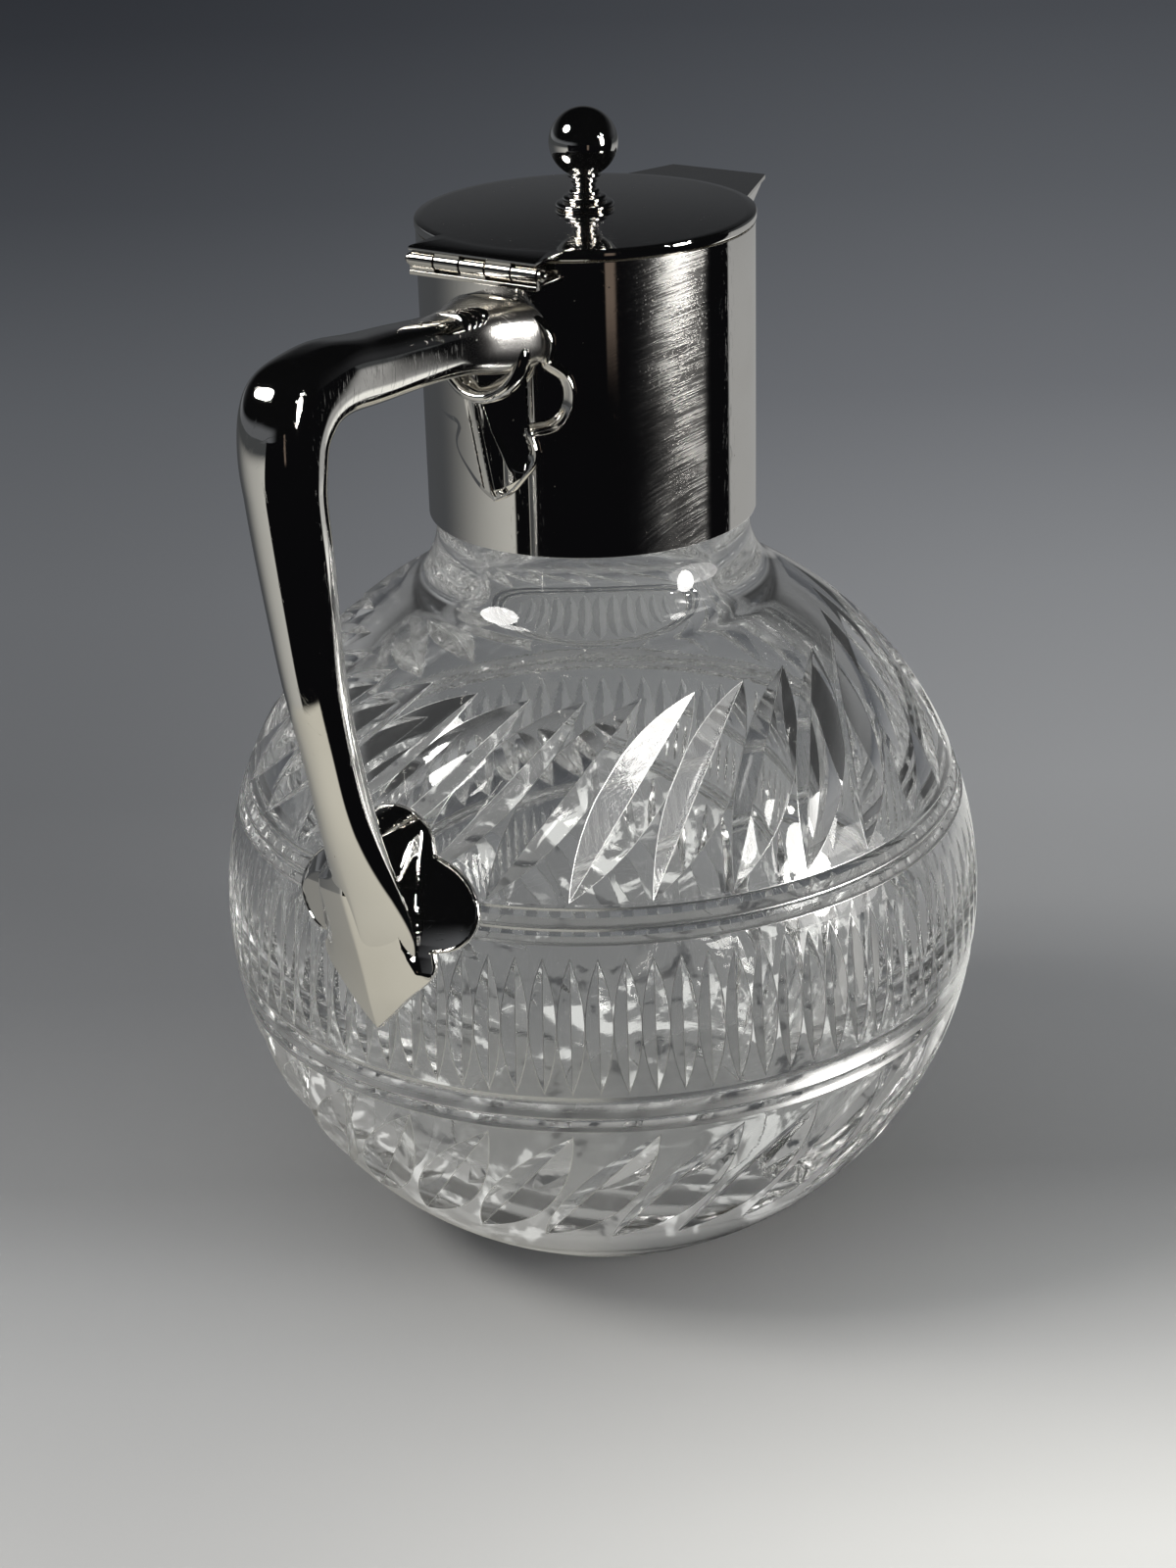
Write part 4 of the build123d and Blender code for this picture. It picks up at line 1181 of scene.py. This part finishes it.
def painted_reflection_tone(b, far, ahead, side):
    """Painted reflections: the glowing tones that mirror rays meet on the sheet, pale near the jug and
    behind it, dark past a slanting front edge, with a warm slot in front, a cream zone close by, and
    a white patch on the right."""
    front_edge = (ahead - side * 0.36 + 0.02).ramp(-0.015, 0.015)
    back_left = (ahead - side * 0.76).ramp(0.0, 0.02) * (1 - side.ramp(-0.02, 0.02))
    pale = b.blend((ahead / far).ramp(-0.8, 0.6), TOWARDS, AWAY)
    pale = b.blend(side.ramp(0.05, 0.15), pale, BESIDE)
    lit = (back_left + front_edge * (1 - back_left)).clamp()
    tone = b.blend(lit, DARK, b.blend(far.ramp(0.7, 1.5), pale, FAR_OFF))
    bearing = side / (ahead * -1)
    slot = bearing.ramp(0.19, 0.22) * (1 - bearing.ramp(0.30, 0.35)) * (1 - front_edge)
    tone = b.blend(slot * far.ramp(0.62, 0.79), tone, WARM)
    near = (1 - far.ramp(0.222, 0.236)) * (1 - side.ramp(-0.01, 0.01) * (1 - front_edge))
    tone = b.blend(near, tone, b.blend(ahead.ramp(-0.22, 0.1), CREAM, GREY))
    white = front_edge * (side + ahead * 0.1 - 0.05).ramp(0.0, 0.03) * (1 - far.ramp(0.34, 0.44))
    return b.blend(white, tone, WHITE)


def painted_glass_tone(b, p, far, ahead, side, seen):
    """Painted light that glass rays meet on the sheet, glowing and without the jug's shadow: the
    painted falloff ahead, calm tones in front, and a few painted patches of light and shade under
    the jug, as the cuts of the far side throw them."""
    tone = b.blend((ahead * -1).ramp(-0.05, 0.15), seen, b.blend(side.ramp(-0.2, 0.2), CALM_LEFT, CALM_RIGHT))
    under = 1 - far.ramp(0.10, 0.22)
    shine = b.noise(p, 24, 4.0, 0.6, 1.2)
    tone = b.blend(shine.ramp(0.55, 0.60) * under, tone, GLINT)
    return b.blend((1 - shine.ramp(0.36, 0.42)) * under, tone, GLOOM)


# %% Floor
def floor():
    """One square just under the foot. Straight rays meet a matt sheet whose colour is painted light;
    mirrored and bent ones meet its glowing tones, painted reflections and painted light through glass."""
    h = FLOOR_HALF
    mesh = bpy.data.meshes.new("floor_sheet")
    mesh.from_pydata([(x, y, FLOOR_GAP) for x, y in ((-h, -h), (h, -h), (h, h), (-h, h))], [], [(0, 1, 2, 3)])
    obj = bpy.data.objects.new("floor_sheet", mesh)
    bpy.context.scene.collection.objects.link(obj)
    b = Finish("pale_floor_painted_light")
    p = b.place()
    x, y, _ = b.xyz(p)
    ahead, side, far = x * AHEAD[0] + y * AHEAD[1], x * AHEAD[1] - y * AHEAD[0], b.length(p)
    # the matt sheet's colour is painted light: bright near the jug, darker far off
    seen = painted_falloff(b, ahead, side)
    matt = b.node("BsdfDiffuse", {}, {"Color": seen})
    mirrored, through = (b.node("Emission", {}, {"Color": tone, "Strength": 1.0}) for tone in (
        painted_reflection_tone(b, far, ahead, side), painted_glass_tone(b, p, far, ahead, side, seen)))
    b.node("OutputMaterial", {}, {"Surface": b.by_ray(matt, mirrored, through)})
    mesh.materials.append(b.owner)
    print("floor nodes:", len(b.tree.nodes))


floor()

# %% [markdown]
# ## World and lamps
# One even fill lights matt things. Mirrors and glass would show it as fog, so their rays find a
# dark room instead, with a pale wall low on the left. Two soft windows and six small sparks are the
# highlights on silver, and one weak lamp, linked to the glass alone, lays a sheen on the cuts.


# %% World
def room():
    """Diffuse rays get an even fill; mirror and glass rays see a dark room with a pale wall low on
    the left."""
    b = Finish("room", bpy.context.scene.world or bpy.data.worlds.new("room"))
    bpy.context.scene.world = b.owner
    x, y, z = b.xyz(b.node("TexCoord", out="Generated"))
    back = (x * AHEAD[0] + y * AHEAD[1]).ramp(0.1, 0.9)
    left = (y * AHEAD[0] - x * AHEAD[1]).ramp(0.25, 0.8)
    mirror_tone = (back * ((1 - z.ramp(0.08, 0.36)) * 0.050 + (1 - z.ramp(0.34, 0.50)) * 0.014)
                   + left * (1 - z.ramp(0.05, 0.16)) * 0.10 + 0.003)
    glass_tone = (1 - z.ramp(0.10, 0.35)) * (left * 0.16 + back * 0.10 + 0.06) + 0.05
    fill = b.node("Background", {}, {"Color": (0.92, 0.95, 1.0), "Strength": 0.62})
    colours = [b.blend(tone.clamp(), (0, 0, 0), tint)
               for tone, tint in ((mirror_tone, (0.95, 0.99, 1.06)), (glass_tone, (0.98, 0.99, 1.0)))]
    mirror, glass = (b.node("Background", {}, {"Color": colour, "Strength": 1.0}) for colour in colours)
    b.node("OutputWorld", {}, {"Surface": b.by_ray(fill, mirror, glass)})


room()

# %% Lamps
LAMPS = [  # name, azimuth, height above level, distance, size, power
    ("glass_sheen", 286, 3, 1.0, (0.75, 0.36), 2.0),
    ("lamp_left", 136, 43, 1.1, (0.44, 0.38), 6.0),
    ("lamp_right", 278, 10, 1.0, (0.23, 0.44), 4.0),
    *((f"spark_{k}", azimuth, height, 1.3, (0.05, 0.05), 0.3) for k, (azimuth, height) in enumerate(
        ((128, 37), (143, 38), (147, 45), (268, 22), (286, 22), (281, 26)))),
]
LAMP_AIM, LAMP_COLOUR = Vector((0, 0, 0.13)), (1, 0.98, 0.95)
BOUNCES = 24


def lamp(name, azimuth, height, distance, size, power):
    """A round soft lamp in a direction from the jug, turned to face it."""
    data = bpy.data.lights.new(name, "AREA")
    data.shape, data.size, data.size_y, data.energy, data.color = "ELLIPSE", *size, power, LAMP_COLOUR
    obj = bpy.data.objects.new(name, data)
    a, e = math.radians(azimuth), math.radians(height)
    way = Vector((math.cos(e) * math.cos(a), math.cos(e) * math.sin(a), math.sin(e)))
    obj.location = LAMP_AIM + way * distance
    obj.rotation_mode = "QUATERNION"
    obj.rotation_quaternion = way.to_track_quat("Z", "Y")
    bpy.context.scene.collection.objects.link(obj)
    return obj


lamps = [lamp(*row) for row in LAMPS]
only_glass = bpy.data.collections.new("only_glass")
only_glass.objects.link(GLASS)
lamps[0].light_linking.receiver_collection = only_glass
cycles = bpy.context.scene.cycles
cycles.max_bounces, cycles.glossy_bounces, cycles.transmission_bounces = BOUNCES, BOUNCES, BOUNCES
print("lamps:", [obj.name for obj in lamps])
